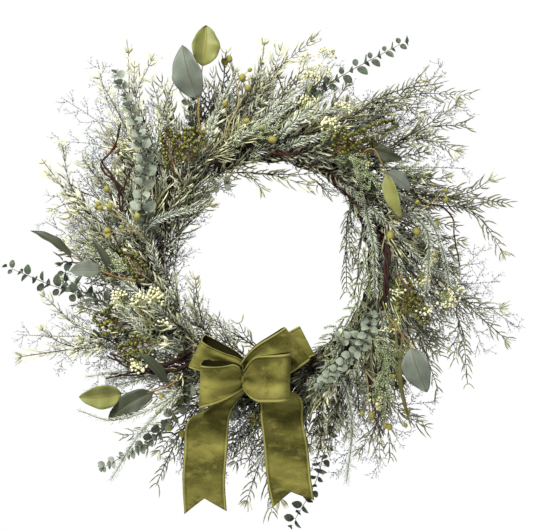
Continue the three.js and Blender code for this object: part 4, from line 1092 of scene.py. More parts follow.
def dressing_tree():
    """Stems as thin tubes, with an organ at every step or only at their ends."""
    tree = bpy.data.node_groups.new("dressed_stems", "GeometryNodeTree")
    face = tree.interface
    for name, kind in TREE_INPUTS.items():
        face.new_socket(name, in_out="INPUT", socket_type=f"NodeSocket{kind}")
    face.new_socket("Geometry", in_out="OUTPUT", socket_type="NodeSocketGeometry")
    graph = Graph(tree)

    def given(name):
        """One of the tree's own inputs."""
        return graph.add("NodeGroupInput", output=name)

    def chance(low, high, shift, kind="FLOAT"):
        """A random number, another one for every shift."""
        return graph.add("FunctionNodeRandomValue", {"data_type": kind},
                         {"Min": low, "Max": high, "Seed": given("Seed") + shift})

    def stored(geometry, name, value, domain):
        """The geometry with a value kept on it under a name."""
        return graph.add("GeometryNodeStoreNamedAttribute",
                         {"data_type": "FLOAT", "domain": domain},
                         {"Geometry": geometry, "Name": name, "Value": value})

    def read(name):
        """A value that was kept under a name."""
        return graph.add("GeometryNodeInputNamedAttribute", {"data_type": "FLOAT"},
                         {"Name": name})

    steps = graph.add("GeometryNodeResampleCurve", {"mode": "LENGTH"},
                      {"Curve": given("Geometry"), "Length": given("Spacing")})
    steps = graph.add("GeometryNodeSwitch", {"input_type": "GEOMETRY"},
                      {"Switch": given("Tips Only"), "False": steps, "True": given("Geometry")})
    share = graph.add("GeometryNodeSplineParameter", output="Factor")
    steps = stored(steps, "stem_share", share, "POINT")
    tangent = graph.add("GeometryNodeInputTangent")
    facing = graph.add("FunctionNodeAlignRotationToVector", {"axis": "Z"}, {"Vector": tangent})
    facing = graph.add("FunctionNodeAlignRotationToVector", {"axis": "Y", "pivot_axis": "Z"},
                       {"Rotation": facing, "Vector": TOWARDS_VIEWER})
    angle = graph.add("GeometryNodeInputIndex") * given("Turn") + chance(-0.4, 0.4, 1)
    turn = graph.add("FunctionNodeAxisAngleToRotation",
                     inputs={"Axis": (0.0, 0.0, 1.0), "Angle": angle})
    facing = graph.add("FunctionNodeRotateRotation", {"rotation_space": "LOCAL"},
                       {"Rotation": facing, "Rotate By": turn})
    size = given("Root Scale") + (given("Tip Scale") - given("Root Scale")) * share
    size = size * (1 + chance(-1.0, 1.0, 2) * given("Spread"))
    organs = graph.add("GeometryNodeCollectionInfo", None,
                       {"Collection": given("Organs"), "Separate Children": True,
                        "Reset Children": True})
    placed = graph.add("GeometryNodeInstanceOnPoints", None,
                       {"Points": steps, "Selection": share > given("Bare Share"),
                        "Instance": organs, "Pick Instance": True,
                        "Instance Index": chance(0, VARIANTS - 1, 3, "INT"),
                        "Rotation": facing, "Scale": size})
    placed = stored(placed, "tint", chance(0.0, 1.0, 4), "INSTANCE")
    placed = stored(placed, "share", read("stem_share"), "INSTANCE")
    placed = graph.add("GeometryNodeRealizeInstances", None, {"Geometry": placed})
    placed = graph.add("GeometryNodeSetMaterial", None,
                       {"Geometry": placed, "Material": given("Organ Material")})
    placed = graph.add("GeometryNodeSetMaterial", None,
                       {"Geometry": placed, "Selection": read("wood") > 0.5,
                        "Material": given("Stem Material")})
    outline = graph.add("GeometryNodeCurvePrimitiveCircle", None,
                        {"Resolution": STEM_SIDES, "Radius": 1.0})
    radius = graph.add("GeometryNodeInputRadius")
    stems = graph.add("GeometryNodeCurveToMesh", None,
                      {"Curve": given("Geometry"), "Profile Curve": outline, "Scale": radius,
                       "Fill Caps": True})
    stems = graph.add("GeometryNodeSetMaterial", None,
                      {"Geometry": stems, "Material": given("Stem Material")})
    both = graph.node("GeometryNodeJoinGeometry")
    for part in (stems, placed):
        tree.links.new(part.socket, both.inputs[0])
    graph.node("NodeGroupOutput", None, {"Geometry": Socket(graph, both.outputs[0])})
    return tree


DRESSING = dressing_tree()
SOCKETS = {item.name: item.identifier for item in DRESSING.interface.items_tree
           if item.in_out == "INPUT"}
print("tree nodes:", len(DRESSING.nodes))

# %% [markdown]
# ### From stems to a finished piece
# The stems go in as a curve with a radius at each point. What comes out is copied to a plain mesh,
# and the curve and its modifier are dropped. Leaves that would reach into the wall are pressed
# flat against it, as on a wreath that has been packed.

# %% Dress, settle and keep
# Spacing in mm, turn in degrees, scale at root and tip, bare share, spread of sizes.
DRESS = {
    "eucalyptus": (16, 0, 1.1, 0.6, 0.1, 0.12),
    "dark_eucalyptus": (20, 0, 1.4, 0.85, 0.1, 0.12),
    "berries": (9, 0, 1.0, 1.0, 0.999, 0.12),
    "flowers": (9, 0, 1.0, 1.0, 0.999, 0.25),
    "buds": (9, 0, 1.0, 1.0, 0.999, 0.2),
    "fir": (2.5, 137, 1.0, 0.6, 0.02, 0.2),
    "thuja": (2.8, 137, 1.0, 0.7, 0.05, 0.2),
    "rosemary": (6.4, 80, 1.1, 0.85, 0.04, 0.25),
    "rosette": (9, 0, 1.0, 1.0, 0.999, 0.25),
    "strap": (7, 80, 1.0, 0.7, 0.05, 0.25),
    "mist": (3.65, 137, 1.0, 0.85, 0.05, 0.3),
}
TIPS_ONLY = {"berries", "flowers", "buds", "rosette"}
triangles = {}


def settle(data):
    """Presses what would reach into the wall flat against it."""
    for vertex in data.vertices:
        vertex.co.y = min(vertex.co.y, BACK)


def as_curve(name, stems):
    """The stems as one curve object with a radius at each point."""
    curve = bpy.data.curves.new(name, "CURVE")
    curve.dimensions = "3D"
    for points, radius, _ in stems:
        spline = curve.splines.new("POLY")
        spline.points.add(len(points) - 1)
        last = len(points) - 1
        for i, (target, point) in enumerate(zip(spline.points, points)):
            target.co = (*point, 1.0)
            target.radius = radius * (1 + (TIP_SHARE - 1) * i / last)
    made = bpy.data.objects.new(name, curve)
    scene.collection.objects.link(made)
    return made


def dressed(name, kind, stems, seed, finish=None, size=1.0):
    """The mesh of a set of stems with their organs, all of them smaller or larger by size."""
    carrier = as_curve(f"{name}_stems", stems)
    spacing, turn, root, tip, bare, spread = DRESS[kind]
    spacing, root, tip = spacing * size, root * size, tip * size
    values = {
        "Organs": ORGAN_GROUPS[kind], "Spacing": spacing * MM, "Turn": math.radians(turn),
        "Root Scale": root, "Tip Scale": tip, "Bare Share": bare, "Spread": spread, "Seed": seed,
        "Tips Only": kind in TIPS_ONLY, "Organ Material": finish or LEAF[kind],
        "Stem Material": STEM[kind.removeprefix("dark_")],
    }
    modifier = carrier.modifiers.new("dress", "NODES")
    modifier.node_group = DRESSING
    for label, value in values.items():
        modifier[SOCKETS[label]] = value
    graph = bpy.context.evaluated_depsgraph_get()
    data = bpy.data.meshes.new_from_object(carrier.evaluated_get(graph))
    bpy.data.objects.remove(carrier)
    settle(data)
    return data


def keep(name, data, nodes=()):
    """Puts a finished mesh on the wreath's body, in place of its solids."""
    data.name = name
    made = bpy.data.objects.new(name, data)
    scene.collection.objects.link(made)
    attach(made, "root")
    if nodes:
        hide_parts(*nodes)
    data.calc_loop_triangles()
    triangles[name] = len(data.loop_triangles)
    return made


# %% [markdown]
# ### Stars of young leaves
# The youngest leaves of the rosemary-like plant open at the ends of its stems as small cream
# stars. They are dressed like the other organs, on the last points of some of the stems.

# %% Stars
PALE_STARS, OTHER_STARS = 0.85, 0.3  # of the stems' ends that carry a star
STAR_POINTS = 3


def add_stars(name, stems, pale, seed):
    """Stars of young cream leaves at some of the ends of rosemary stems."""
    chosen = random.Random(seed)
    share = PALE_STARS if pale else OTHER_STARS
    ends = [(curve[-STAR_POINTS:], radius * TIP_SHARE, order) for curve, radius, order in stems
            if len(curve) > 4 and chosen.random() < share]
    if ends:
        keep(f"{name}_stars", dressed(name, "rosette", ends, seed))


# %% [markdown]
# ## Broad leaves
# There are only fourteen of them, so each is modelled for itself: a thin closed blade with a fold
# along the midrib, a droop along its length and a slightly waved edge, on a short petiole. Its
# place, width and turn come from the list of sprays.

# %% A leaf from its base to its tip
LEAF_ROWS, LEAF_COLUMNS = 16, 8
LEAF_THICKNESS = 0.5 * MM
PETIOLE = 0.06  # of the leaf's length
print("quads on the two sides of a broad leaf:", 2 * LEAF_ROWS * LEAF_COLUMNS)


def closed_sheet(rows, thickness, uvs):
    """A grid of points as a thin closed blade: its faces by turns front and back, then the rim."""
    height, width = len(rows), len(rows[0])
    normals = []
    for r in range(height):
        line = []
        for c in range(width):
            down = rows[min(r + 1, height - 1)][c] - rows[max(r - 1, 0)][c]
            across = rows[r][min(c + 1, width - 1)] - rows[r][max(c - 1, 0)]
            line.append(across.cross(down).normalized())
        normals.append(line)
    points, marks = [], []
    for side in (0.5, -0.5):
        for r in range(height):
            points += [rows[r][c] + normals[r][c] * thickness * side for c in range(width)]
            marks += uvs[r]
    back = height * width
    faces = []
    for r in range(height - 1):
        for c in range(width - 1):
            a = r * width + c
            faces.append((a, a + 1, a + width + 1, a + width))
            faces.append((back + a, back + a + width, back + a + width + 1, back + a + 1))
    rim = list(range(width))
    rim += [r * width + width - 1 for r in range(1, height)]
    rim += [(height - 1) * width + c for c in range(width - 2, -1, -1)]
    rim += [r * width for r in range(height - 2, 0, -1)]
    for a, b in zip(rim, rim[1:] + rim[:1]):
        faces.append((b, a, back + a, back + b))
    return points, faces, marks


def broad_leaf(shape, base, tip, width, turn, mark, rng):
    """One broad leaf, in metres, with its petiole marked as wood."""
    along = tip - base
    length = along.length
    along.normalize()
    facing = Matrix.Rotation(math.radians(turn), 3, along) @ TOWARDS_VIEWER
    across = along.cross(facing).normalized()
    up = across.cross(along)
    start = base + along * length * PETIOLE
    blade = length * (1 - PETIOLE)
    wave, phase = rng.uniform(0.03, 0.07) * width, rng.uniform(0, TAU)
    rows, uvs = [], []
    for r in range(LEAF_ROWS + 1):
        t = r / LEAF_ROWS
        half = width / 2 * (math.sin(math.pi * t ** 0.86) ** 0.72 + 0.02) * (1 - 0.12 * t)
        row = []
        for c in range(LEAF_COLUMNS + 1):
            side = 2 * c / LEAF_COLUMNS - 1
            lift = abs(side) * half * 0.42 + math.sin(t * math.pi) * 0.09 * length
            lift += wave * abs(side) ** 2 * math.sin(t * 17 + phase + side)
            row.append(start + along * blade * t + across * half * side + up * lift)
        rows.append(row)
        uvs.append([(c / LEAF_COLUMNS, t) for c in range(LEAF_COLUMNS + 1)])
    shape.add(*closed_sheet(rows, LEAF_THICKNESS, uvs), mark)
    steps = 5
    stalk = [base + along * length * (PETIOLE + 0.1) * k / steps for k in range(steps + 1)]
    shape.spindle(stalk, [0.9 * MM] * (steps - 1), 5, wood=1.0)


def set_finishes(data, leaves, wood):
    """Wood is marked 1, and a blade 0 or less, by the place of its finish among the leaves'."""
    for finish in (*leaves, wood):
        data.materials.append(finish)
    marks = data.attributes["wood"].data
    for face, mark in zip(data.polygons, marks):
        face.material_index = len(leaves) if mark.value > 0.5 else round(-mark.value)


NARROW = 0.66  # of the listed width, for the olive leaves, which hang edge on


def leafy(name, stems, leaves, rng, finishes):
    """A twig with broad leaves, whose bases are moved onto the nearest point of a stem."""
    shape = Shape()
    for curve, radius, _ in stems:
        radii = [radius * (1 + (TIP_SHARE - 1) * k / len(curve)) for k in range(len(curve) - 2)]
        shape.spindle(curve, radii, 6, wood=1.0)
    spots = [point for curve, _, _ in stems for point in curve]
    for (base, tip, width, turn), finish in zip(leaves, finishes):
        width *= NARROW if finish is OLIVE_LEAF else 1.0
        root = min(spots, key=lambda spot: (spot - base).length)
        mark = -float(BROAD_FINISHES.index(finish))
        broad_leaf(shape, root, tip + root - base, width * MM, turn, mark, rng)
    data = shape.mesh(name)
    set_finishes(data, BROAD_FINISHES, STEM["broad"])
    settle(data)
    return data


# %% [markdown]
# ### The sprays in place
# Each listed spray is grown from its own seed and takes the place of its solid. Some sprigs of
# eucalyptus are darker or smaller than the rest, and the rosemary at the top and on the left is
# paler. Those differences are given by name, because no rule would find them.

# %% All listed sprays
DARK_EUCALYPTUS = leaf_finish("dark_eucalyptus_leaf", (28, 38, 26), (48, 61, 41), (66, 80, 54),
                              (86, 100, 76), frost=0.08)
PALE_ROSEMARY = leaf_finish("pale_rosemary_needle", (48, 54, 30), (142, 146, 104),
                            (218, 216, 174), (200, 201, 162), frost=0.4, young=(238, 234, 190))
DARK_SPRIGS = {"eucalyptus_far_left", "eucalyptus_top_right", "eucalyptus_bottom"}
SMALL_SPRIGS = {"eucalyptus_lower_right": 0.74, "eucalyptus_inner": 0.85,
                "eucalyptus_bottom_left": 0.85}
PALE_SPRAYS = {"rosemary_top_left", "rosemary_above_left", "rosemary_left", "rosemary_top",
               "rosemary_inner_top", "rosemary_lower_left"}
GREY_LEAF = LEAF["broad"]
BROAD_FINISHES = (GREY_LEAF, YELLOW_LEAF, DARK_LEAF, OLIVE_LEAF)
LEAF_ORDER = {
    "leaf_twig_top": (YELLOW_LEAF, GREY_LEAF),
    "leaf_twig_left": (DARK_LEAF, GREY_LEAF, DARK_LEAF),
    "leaf_twig_right": (YELLOW_LEAF, GREY_LEAF, DARK_LEAF),
    "leaf_twig_lower_right": (GREY_LEAF, OLIVE_LEAF, OLIVE_LEAF),
    "leaf_twig_lower_left": (YELLOW_LEAF, DARK_LEAF, DARK_LEAF),
}

for number, (name, kind, stem, sides, leaves) in enumerate(SPRAYS):
    rng = random.Random(1000 + number)
    main, side_curves = listed_stems(name, kind, stem, sides)
    stems = grow(kind, main, side_curves, rng)
    if kind == "broad":
        shift = main[-1].y - place(*stem[-1]).y
        moved = [(place(*base) + Vector((0, shift, 0)), place(*tip) + Vector((0, shift, 0)),
                  width, turn) for base, tip, width, turn in leaves]
        data = leafy(name, stems, moved, rng, LEAF_ORDER[name])
    elif name in DARK_SPRIGS:
        data = dressed(name, "dark_eucalyptus", stems, number, DARK_EUCALYPTUS)
    elif name in PALE_SPRAYS:
        data = dressed(name, kind, stems, number, PALE_ROSEMARY)
    else:
        data = dressed(name, kind, stems, number, size=SMALL_SPRIGS.get(name, 1.0))
    keep(f"{name}_fine", data, [name])
    if kind == "rosemary":
        add_stars(name, stems, name in PALE_SPRAYS, number)
print("listed sprays:", sum(triangles.values()), "triangles")

# %% [markdown]
# ## The twisted vine
# The ring is grapevine wound on itself: five thick vines in one bundle, thinner ones wrapped
# loosely over them, and a few wild ends that leave the ring. Bark is furrowed along the vine and is
# red-brown where the light catches it. Each vine is a tube of its own whose radius follows noise,
# so that it looks grown rather than turned.

# %% Bark
def bark_finish():
    """Bark: furrows along the vine in red-brown, with patches worn paler and a painted highlight on
    the ridges.
    """
    material, graph, shader = surface("grapevine_bark", 0.7)
    uv = graph.add("ShaderNodeUVMap", {"uv_map": "UVMap"})
    lengthwise = graph.add("ShaderNodeMapping", inputs={"Vector": uv, "Scale": (9.0, 1.6, 1.0)})
    furrows = graph.add("ShaderNodeTexNoise",
                        inputs={"Vector": lengthwise, "Scale": 1.4, "Detail": 5.0,
                                "Roughness": 0.62})
    patches = object_noise(graph, 24, 3)
    colour = mix(graph, (furrows - 0.36) * 3.2, (28, 16, 12), (80, 37, 25))
    colour = mix(graph, (patches - 0.52) * 5, colour, (112, 52, 33))
    # painted highlight on the ridges between the furrows
    colour = mix(graph, (furrows - 0.62) * 6, colour, (136, 86, 62))
    link(graph, colour, shader, "Base Color")
    link(graph, 0.8 - furrows * 0.35, shader, "Roughness")
    bump(graph, furrows, 0.0022, shader)
    return material


BARK = bark_finish()
print("bark:", BARK.name)

# %% One vine
UV_LENGTH = 40 * MM  # of vine for one unit of the UV map's length


def vine(shape, path, radii, rng, sides=8, closed=False):
    """A tube of uneven thickness, closed on itself or ending in a cut."""
    count = len(path)
    points, uvs, faces = [], [], []
    phase, run = rng.uniform(0, 50), 0.0
    for k, centre in enumerate(path):
        ahead = path[(k + 1) % count] if closed or k < count - 1 else path[k]
        behind = path[k - 1] if closed or k else path[k]
        along = (ahead - behind).normalized()
        across = along.cross(Vector((0, 1, 0.001))).normalized()
        up = across.cross(along)
        for s in range(sides):
            turn = TAU * s / sides
            gnarl = noise.noise(Vector((math.cos(turn) * 0.9, math.sin(turn) * 0.9,
                                        phase + k * 0.17)))
            reach = radii[k] * (1 + 0.2 * gnarl)
            points.append(centre + (across * math.cos(turn) + up * math.sin(turn)) * reach)
            uvs.append((1 - abs(2 * s / sides - 1), run / UV_LENGTH))
        run += (ahead - centre).length
    for k in range(count if closed else count - 1):
        here, there = k * sides, (k + 1) % count * sides
        for s in range(sides):
            t = (s + 1) % sides
            faces.append((here + s, here + t, there + t, there + s))
    if not closed:
        faces.append(tuple(reversed(range(sides))))
        faces.append(tuple((count - 1) * sides + s for s in range(sides)))
    shape.add(points, faces, uvs, 1.0)


# %% Vines round the ring
RING_STEPS = 260
BUNDLE_RADIUS = 10.5  # mm, as are the other radii of vines
STRAND_COUNT = 5
STRAND_RADIUS = 6.5
STRAND_TURNS = 2  # of the bundle, in one round of the ring
THIN_VINES = 9
THIN_WINDS = [-7, -5, 4, 6, 8]
THIN_AWAY, THIN_RADIUS = (15, 18.5), (1.3, 2.6)  # from the ring's middle line, and their own
WOBBLE = 3  # mm by which a vine strays from its distance


def round_ring(winds, start, radius, rng):
    """A closed path that winds about the ring's middle line."""
    path, phase = [], rng.uniform(0, 50)
    for k in range(RING_STEPS):
        angle = TAU * k / RING_STEPS
        spot = Vector((math.cos(angle), math.sin(angle), phase))
        stray = WOBBLE * noise.noise(spot * 2.2)
        wind = start + winds * angle + 0.5 * noise.noise(spot * 1.7)
        reach = RING_RADIUS + (radius + stray) * math.cos(wind)
        out = (radius + stray) * math.sin(wind)
        path.append(place(reach * math.cos(angle), reach * math.sin(angle), out))
    return path


rng = random.Random(77)
ring_shape = Shape()
for strand in range(STRAND_COUNT):
    path = round_ring(-STRAND_TURNS, TAU * strand / STRAND_COUNT, BUNDLE_RADIUS, rng)
    radii = [STRAND_RADIUS * MM * (1 + 0.12 * noise.noise(Vector((k * 0.09, strand, 0))))
             for k in range(RING_STEPS)]
    vine(ring_shape, path, radii, rng, closed=True)

for _ in range(THIN_VINES):
    winds = rng.choice(THIN_WINDS)
    path = round_ring(winds, rng.uniform(0, TAU), rng.uniform(*THIN_AWAY), rng)
    thin = rng.uniform(*THIN_RADIUS) * MM
    vine(ring_shape, path, [thin] * RING_STEPS, rng, 5, closed=True)
print("ring:", STRAND_COUNT, "thick and", THIN_VINES, "thin vines")

# %% [markdown]
# ### Wild ends
# Where a vine ends it leaves the bundle and is tucked in again, or sticks out, alone or twisted
# with another. Those that the photo shows are listed by their way over the wreath.

# %% Wild ends
# How many vines twist together, how thick each is at its root in mm, and their way.
WILD_ENDS = [
    (3, 2.0, [(-142, 12, 8), (-180, 52, 30), (-190, 84, 42), (-188, 96, 44)]),
    (2, 1.6, [(-188, 92, 42), (-198, 108, 42), (-214, 129, 38), (-197, 150, 40), (-190, 180, 40)]),
    (1, 1.3, [(-186, 90, 42), (-178, 116, 44), (-170, 128, 42)]),
    (2, 2.3, [(-84, -126, 8), (-120, -139, 36), (-160, -141, 42), (-206, -147, 34)]),
    (3, 2.3, [(-98, -116, 14), (-130, -131, 42), (-170, -134, 46), (-204, -118, 38)]),
    (1, 1.4, [(-150, -134, 34), (-176, -120, 34), (-206, -100, 30), (-222, -96, 26)]),
    (2, 1.5, [(-46, 152, 10), (-10, 152, 30), (30, 141, 32), (66, 158, 28), (92, 132, 8)]),
    (1, 1.5, [(24, 150, 2), (28, 200, 16), (10, 256, 12)]),
    (3, 2.4, [(148, 38, 12), (155, 14, 40), (154, -20, 48), (151, -54, 40), (146, -74, 14)]),
    (1, 1.6, [(148, 50, 2), (208, 76, 22), (239, 62, 26), (244, 28, 24), (252, -6, 18)]),
    (1, 1.4, [(-146, 42, -4), (-200, 76, 12), (-246, 96, 16), (-274, 118, 12)]),
    (1, 1.3, [(120, 96, 6), (162, 110, 34), (196, 84, 34), (222, 40, 30)]),
    (2, 1.3, [(112, -104, 8), (132, -150, 34), (138, -190, 34), (150, -226, 26)]),
]
TWIST_STEP = 0.44  # radians that twisted vines turn from one point of their path to the next
KINK = 1.6 * MM
for together, thick, end in WILD_ENDS:
    path = smooth([place(*point) for point in end])
    count = len(path)
    for strand in range(together):
        apart = thick * 1.05 * MM if together > 1 else 0.0
        turned = []
        for k, point in enumerate(path):
            wind = TWIST_STEP * k + TAU * strand / together
            kink = noise.noise_vector(point * 90 + Vector((strand * 7.0, 0, 0))) * KINK
            turned.append(point + kink + Vector((math.cos(wind), math.sin(wind) * 0.6,
                                                 math.cos(wind))) * apart)
        radii = [(thick - 0.55 * thick * k / count) * MM for k in range(count)]
        vine(ring_shape, turned, radii, rng, 6)
ring_data = ring_shape.mesh("vine_ring_fine")
ring_data.materials.append(BARK)
settle(ring_data)
keep("vine_ring_fine", ring_data, ["vine_ring"])
print("vine:", triangles["vine_ring_fine"], "triangles")

# %% [markdown]
# ## The velvet bow
# The bow is one wired ribbon in five loops and two tails with swallow-tail cuts. Velvet is a short
# dense pile. It looks darker or paler with the way the pile lies, so a bow shows crushed blotches
# and fine creases. The slow bands across its tails are painted light and shade of their waves. One
# material makes them all from noise and from the place on the wreath; it also paints shade into the
# gathers and into a groove beside the wire, and draws the line of the wire near each edge from the
# ribbon's UV map.

# %% Masks on the ribbon
RIBBON_WIDTH = 57 * MM
RIBBON_THICKNESS = 1.1 * MM
PINCH = (-31, -151, 36)  # where the bow is tied: right, up and out in mm
PINCH_SHADE = 46 * MM  # painted shade in the gathers, up to so far from the pinch
# The bands across the tails are painted light and shade of their slow waves.
BAND_LENGTH, BAND_TILT = 64 * MM, 0.3
LEFT_BAND_PHASE = math.pi  # the two tails' waves are half a wave apart
FIRST_LIGHT_BAND, BANDS_FROM = -175, -180  # heights in mm from the ring's centre
RIGHT_TAIL_SHADE = 0.34  # the right tail hangs turned from the light
SIDE_FADE, BAND_FADE = 90, 30  # per metre: how soon the left tail and the bands set in
BAND_STRAY = 2.4  # radians by which the blotches push the bands about


def pinch_shade_mask(graph):
    """How much painted shade the gathers take: 1 at the pinch, 0 where they have opened."""
    x, _, z = object_place(graph)
    centre = place(*PINCH)
    x, z = x - centre.x, z - centre.z
    return (1 - (x * x + z * z).math("SQRT") * (1 / PINCH_SHADE)).math("MAXIMUM", 0.0)


def painted_tail_light(graph, crushed):
    """Two masks: painted light and shade of the tails' waves, from -1 in the dark bands across the
    tails to 1 in the light ones, and from 0 on the loops to 1 on the tails."""
    x, _, height = object_place(graph)
    across = x - place(*PINCH).x
    left = (across * -SIDE_FADE).clamped()
    phase = height - place(0, FIRST_LIGHT_BAND, 0).z + across.math("ABSOLUTE") * BAND_TILT
    phase = phase * (TAU / BAND_LENGTH) + left * LEFT_BAND_PHASE + crushed * BAND_STRAY
    on_tails = ((place(0, BANDS_FROM, 0).z - height) * BAND_FADE).clamped()
    band = phase.math("COSINE") * on_tails
    return band - (1 - left) * on_tails * RIGHT_TAIL_SHADE, on_tails


# %% Velvet and the ribbon's back
WIRE_LINE, GROOVE_SHADE = 0.028, 0.08  # of the width, from each long edge: the wire, and the groove beside it, with painted shade
PRESSED_AND_SHADE, CREASE = (48, 45, 12), (146, 140, 72)  # the darkest pile, also the painted shade at the pinch, and the worn ridges


def velvet_finish():
    """Olive velvet, from its large blotches down to the pile, with painted light and shade on its
    folds.
    """
    material, graph, shader = surface("olive_velvet", 0.82, sheen=0.12, specular=0.12)
    shader.inputs["Sheen Roughness"].default_value = 0.42
    shader.inputs["Sheen Tint"].default_value = linear((206, 202, 132))
    across, _ = uv_shares(graph)
    from_edge = 0.5 - (across - 0.5).math("ABSOLUTE")
    line, groove_shade = from_edge.stripe(WIRE_LINE, 30), from_edge.stripe(GROOVE_SHADE, 40)
    crushed = object_noise(graph, 22, 2, (0.5, 1.0, 1.3))
    creases = object_noise(graph, 90, 3, (0.7, 1.0, 1.4))
    pile = object_noise(graph, 900, 3)
    band, on_tails = painted_tail_light(graph, crushed)
    colour = mix(graph, (crushed - 0.36) * 3.4, (64, 61, 17), (120, 115, 52))
    on_loops = 1 - on_tails
    colour = mix(graph, on_loops * (crushed - 0.38) * 1.8, colour, (152, 146, 76))
    colour = mix(graph, on_loops * (0.5 - crushed) * 2.6, colour, (62, 58, 17))
    # painted light and shade of the tails' waves
    colour = mix(graph, band * 0.42, colour, (134, 129, 66))
    colour = mix(graph, band * -0.8, colour, (52, 49, 13))
    colour = mix(graph, (creases - 0.53) * 2.2, colour, CREASE)
    colour = mix(graph, (0.47 - creases) * 3.2, colour, PRESSED_AND_SHADE)
    colour = mix(graph, pile - 0.42, colour, (146, 140, 74))
    # painted shade in the gathers at the pinch
    colour = mix(graph, pinch_shade_mask(graph) * 0.5, colour, PRESSED_AND_SHADE)
    # painted shade in the groove beside the wire
    colour = mix(graph, groove_shade * 0.4, colour, (58, 56, 18))
    colour = mix(graph, line * 0.85, colour, (162, 158, 88))
    link(graph, colour, shader, "Base Color")
    relief = pile * 0.3 + creases * 0.5 + crushed * 1.2 + line - groove_shade * 0.3
    bump(graph, relief, 0.001, shader)
    return material


def satin_back_and_shade_finish():
    """The ribbon's wrong side: a thin dark weave without pile, and painted shade where it lines the
    loops.
    """
    material, graph, shader = surface("ribbon_back_and_shade", 0.85, specular=0.04)
    weave = object_noise(graph, 700, 2)
    # dark as the wrong side is, and darker still as painted shade inside the loops
    link(graph, mix(graph, weave, (20, 19, 7), (36, 34, 14)), shader, "Base Color")
    bump(graph, weave, 0.0002, shader)
    return material


VELVET = velvet_finish()
SATIN_AND_SHADE = satin_back_and_shade_finish()
print("ribbon finishes:", VELVET.name, "and", SATIN_AND_SHADE.name)

# %% [markdown]
# ### The loops
# A loop leaves the pinch in front, turns round its end and comes back behind. At the pinch the full
# width is gathered into a few folds, and it spreads to full width towards the loop's end. The wire
# in its edges holds a ribbon as it was bent by hand, so no cloth is simulated: a grid of points is
# swept along each loop's own curve, given by its end and its bellies.

# %% The shape of a loop
PINCH_HALF = 11 * MM  # of the ribbon's width where it is gathered
LOOP_ROWS, LOOP_COLUMNS = 54, 24
LOOPS = {
    # End's top and bottom, belly in front and behind, lift, how far the front's top edge dips,
    # the root's height and depth, and the share of the length at which each edge is full.
    "left_front": [(-85, -130, 62), (-87, -187, 60), 20, 6, 6, 6, (-152, 42), (0.3, 1.0)],
    "left_back": [(-84, -99, 44), (-101, -134, 40), 14, 12, 8, 6, (-141, 30), (0.34, 0.8)],
    "right_front": [(31, -115, 66), (28, -176, 64), 22, 6, 0, 0, (-151, 44), (0.32, 0.42)],
    "right_back": [(23, -84, 44), (56, -127, 42), 10, 8, 2, 0, (-146, 31), (0.6, 0.6)],
    "right_far": [(42, -82, 32), (62, -121, 30), 6, 4, 0, 0, (-146, 24), (0.6, 0.6)],
}
PLEATS = 2.3  # folds across the gathered width
PLEAT_DEPTH = 2.6 * MM
GATHER_SHARE = 0.92  # of a loop's length, for the width that the gathers take up


def crumple(point, scale, depth):
    """Small soft dents that follow the place in space."""
    return depth * noise.noise(point * scale) * MM


def loop_point(spec, turn, edge, phase):
    """A point of a loop: turn runs from 0 at the pinch to pi back there, edge from -1 to 1."""
    top, bottom, front, back, lift, dip, (root_up, root_out), full = spec
    top, bottom, middle = place(*top), place(*bottom), place(PINCH[0], root_up, root_out)
    half = (top - bottom) / 2
    outward = math.sin(turn) ** 0.8 if turn < math.pi - 1e-6 else 0.0
    least = PINCH_HALF / half.length
    opened = [1 - (1 - min(1.0, outward / share)) ** 2 for share in full]
    above, below = (least + (1 - least) * share for share in opened)
    side = math.cos(turn)
    spread = above * (1 + edge) / 2 + below * (1 - edge) / 2
    point = middle.lerp((top + bottom) / 2, outward) + half * edge * spread
    belly = math.sin(2 * turn) * (front if side > 0 else back)
    gathered = (1 - outward) ** 1.2
    pleat = PLEAT_DEPTH * gathered * math.sin(edge * PLEATS * math.pi + phase)
    fan = 0.9 * MM * math.sin(edge * PLEATS * math.pi + phase) * outward * (1 - outward) * 3
    wave = 1.6 * MM * outward * math.sin(2.1 * turn + 1.4 * edge + phase)
    point.y += -belly * MM - 3 * MM * gathered * (1 if side > 0 else -1) + pleat + fan + wave
    behind = min(1.0, max(0.0, -side * 2.5))
    point.z += lift * MM * outward * behind
    point.z -= dip * MM * max(0.0, edge) ** 2 * math.sin(math.pi * outward) ** 0.7 * (1 - behind)
    point.z += 1.2 * MM * outward * math.sin(turn * 2.6 + phase) * (1 - 0.3 * edge)
    point.y += crumple(point, 38, 1.3)
    return point


def ribbon_piece(name, rows, uvs, flat_length, inside):
    """A grid of ribbon as a thin closed piece, with its satin side in."""
    shape = Shape()
    shape.add(*closed_sheet(rows, RIBBON_THICKNESS, uvs))
    data = shape.mesh(name)
    data.materials.append(VELVET)
    data.materials.append(SATIN_AND_SHADE)
    cells = (len(rows) - 1) * (len(rows[0]) - 1)
    for face in data.polygons[:2 * cells]:
        face.material_index = (face.index + inside) % 2
    made = keep(name, data, ["bow_ribbon"])
    return made


def middle_length(rows):
    """The length of a grid's middle line."""
    centre = len(rows[0]) // 2
    return sum((b[centre] - a[centre]).length for a, b in zip(rows, rows[1:]))


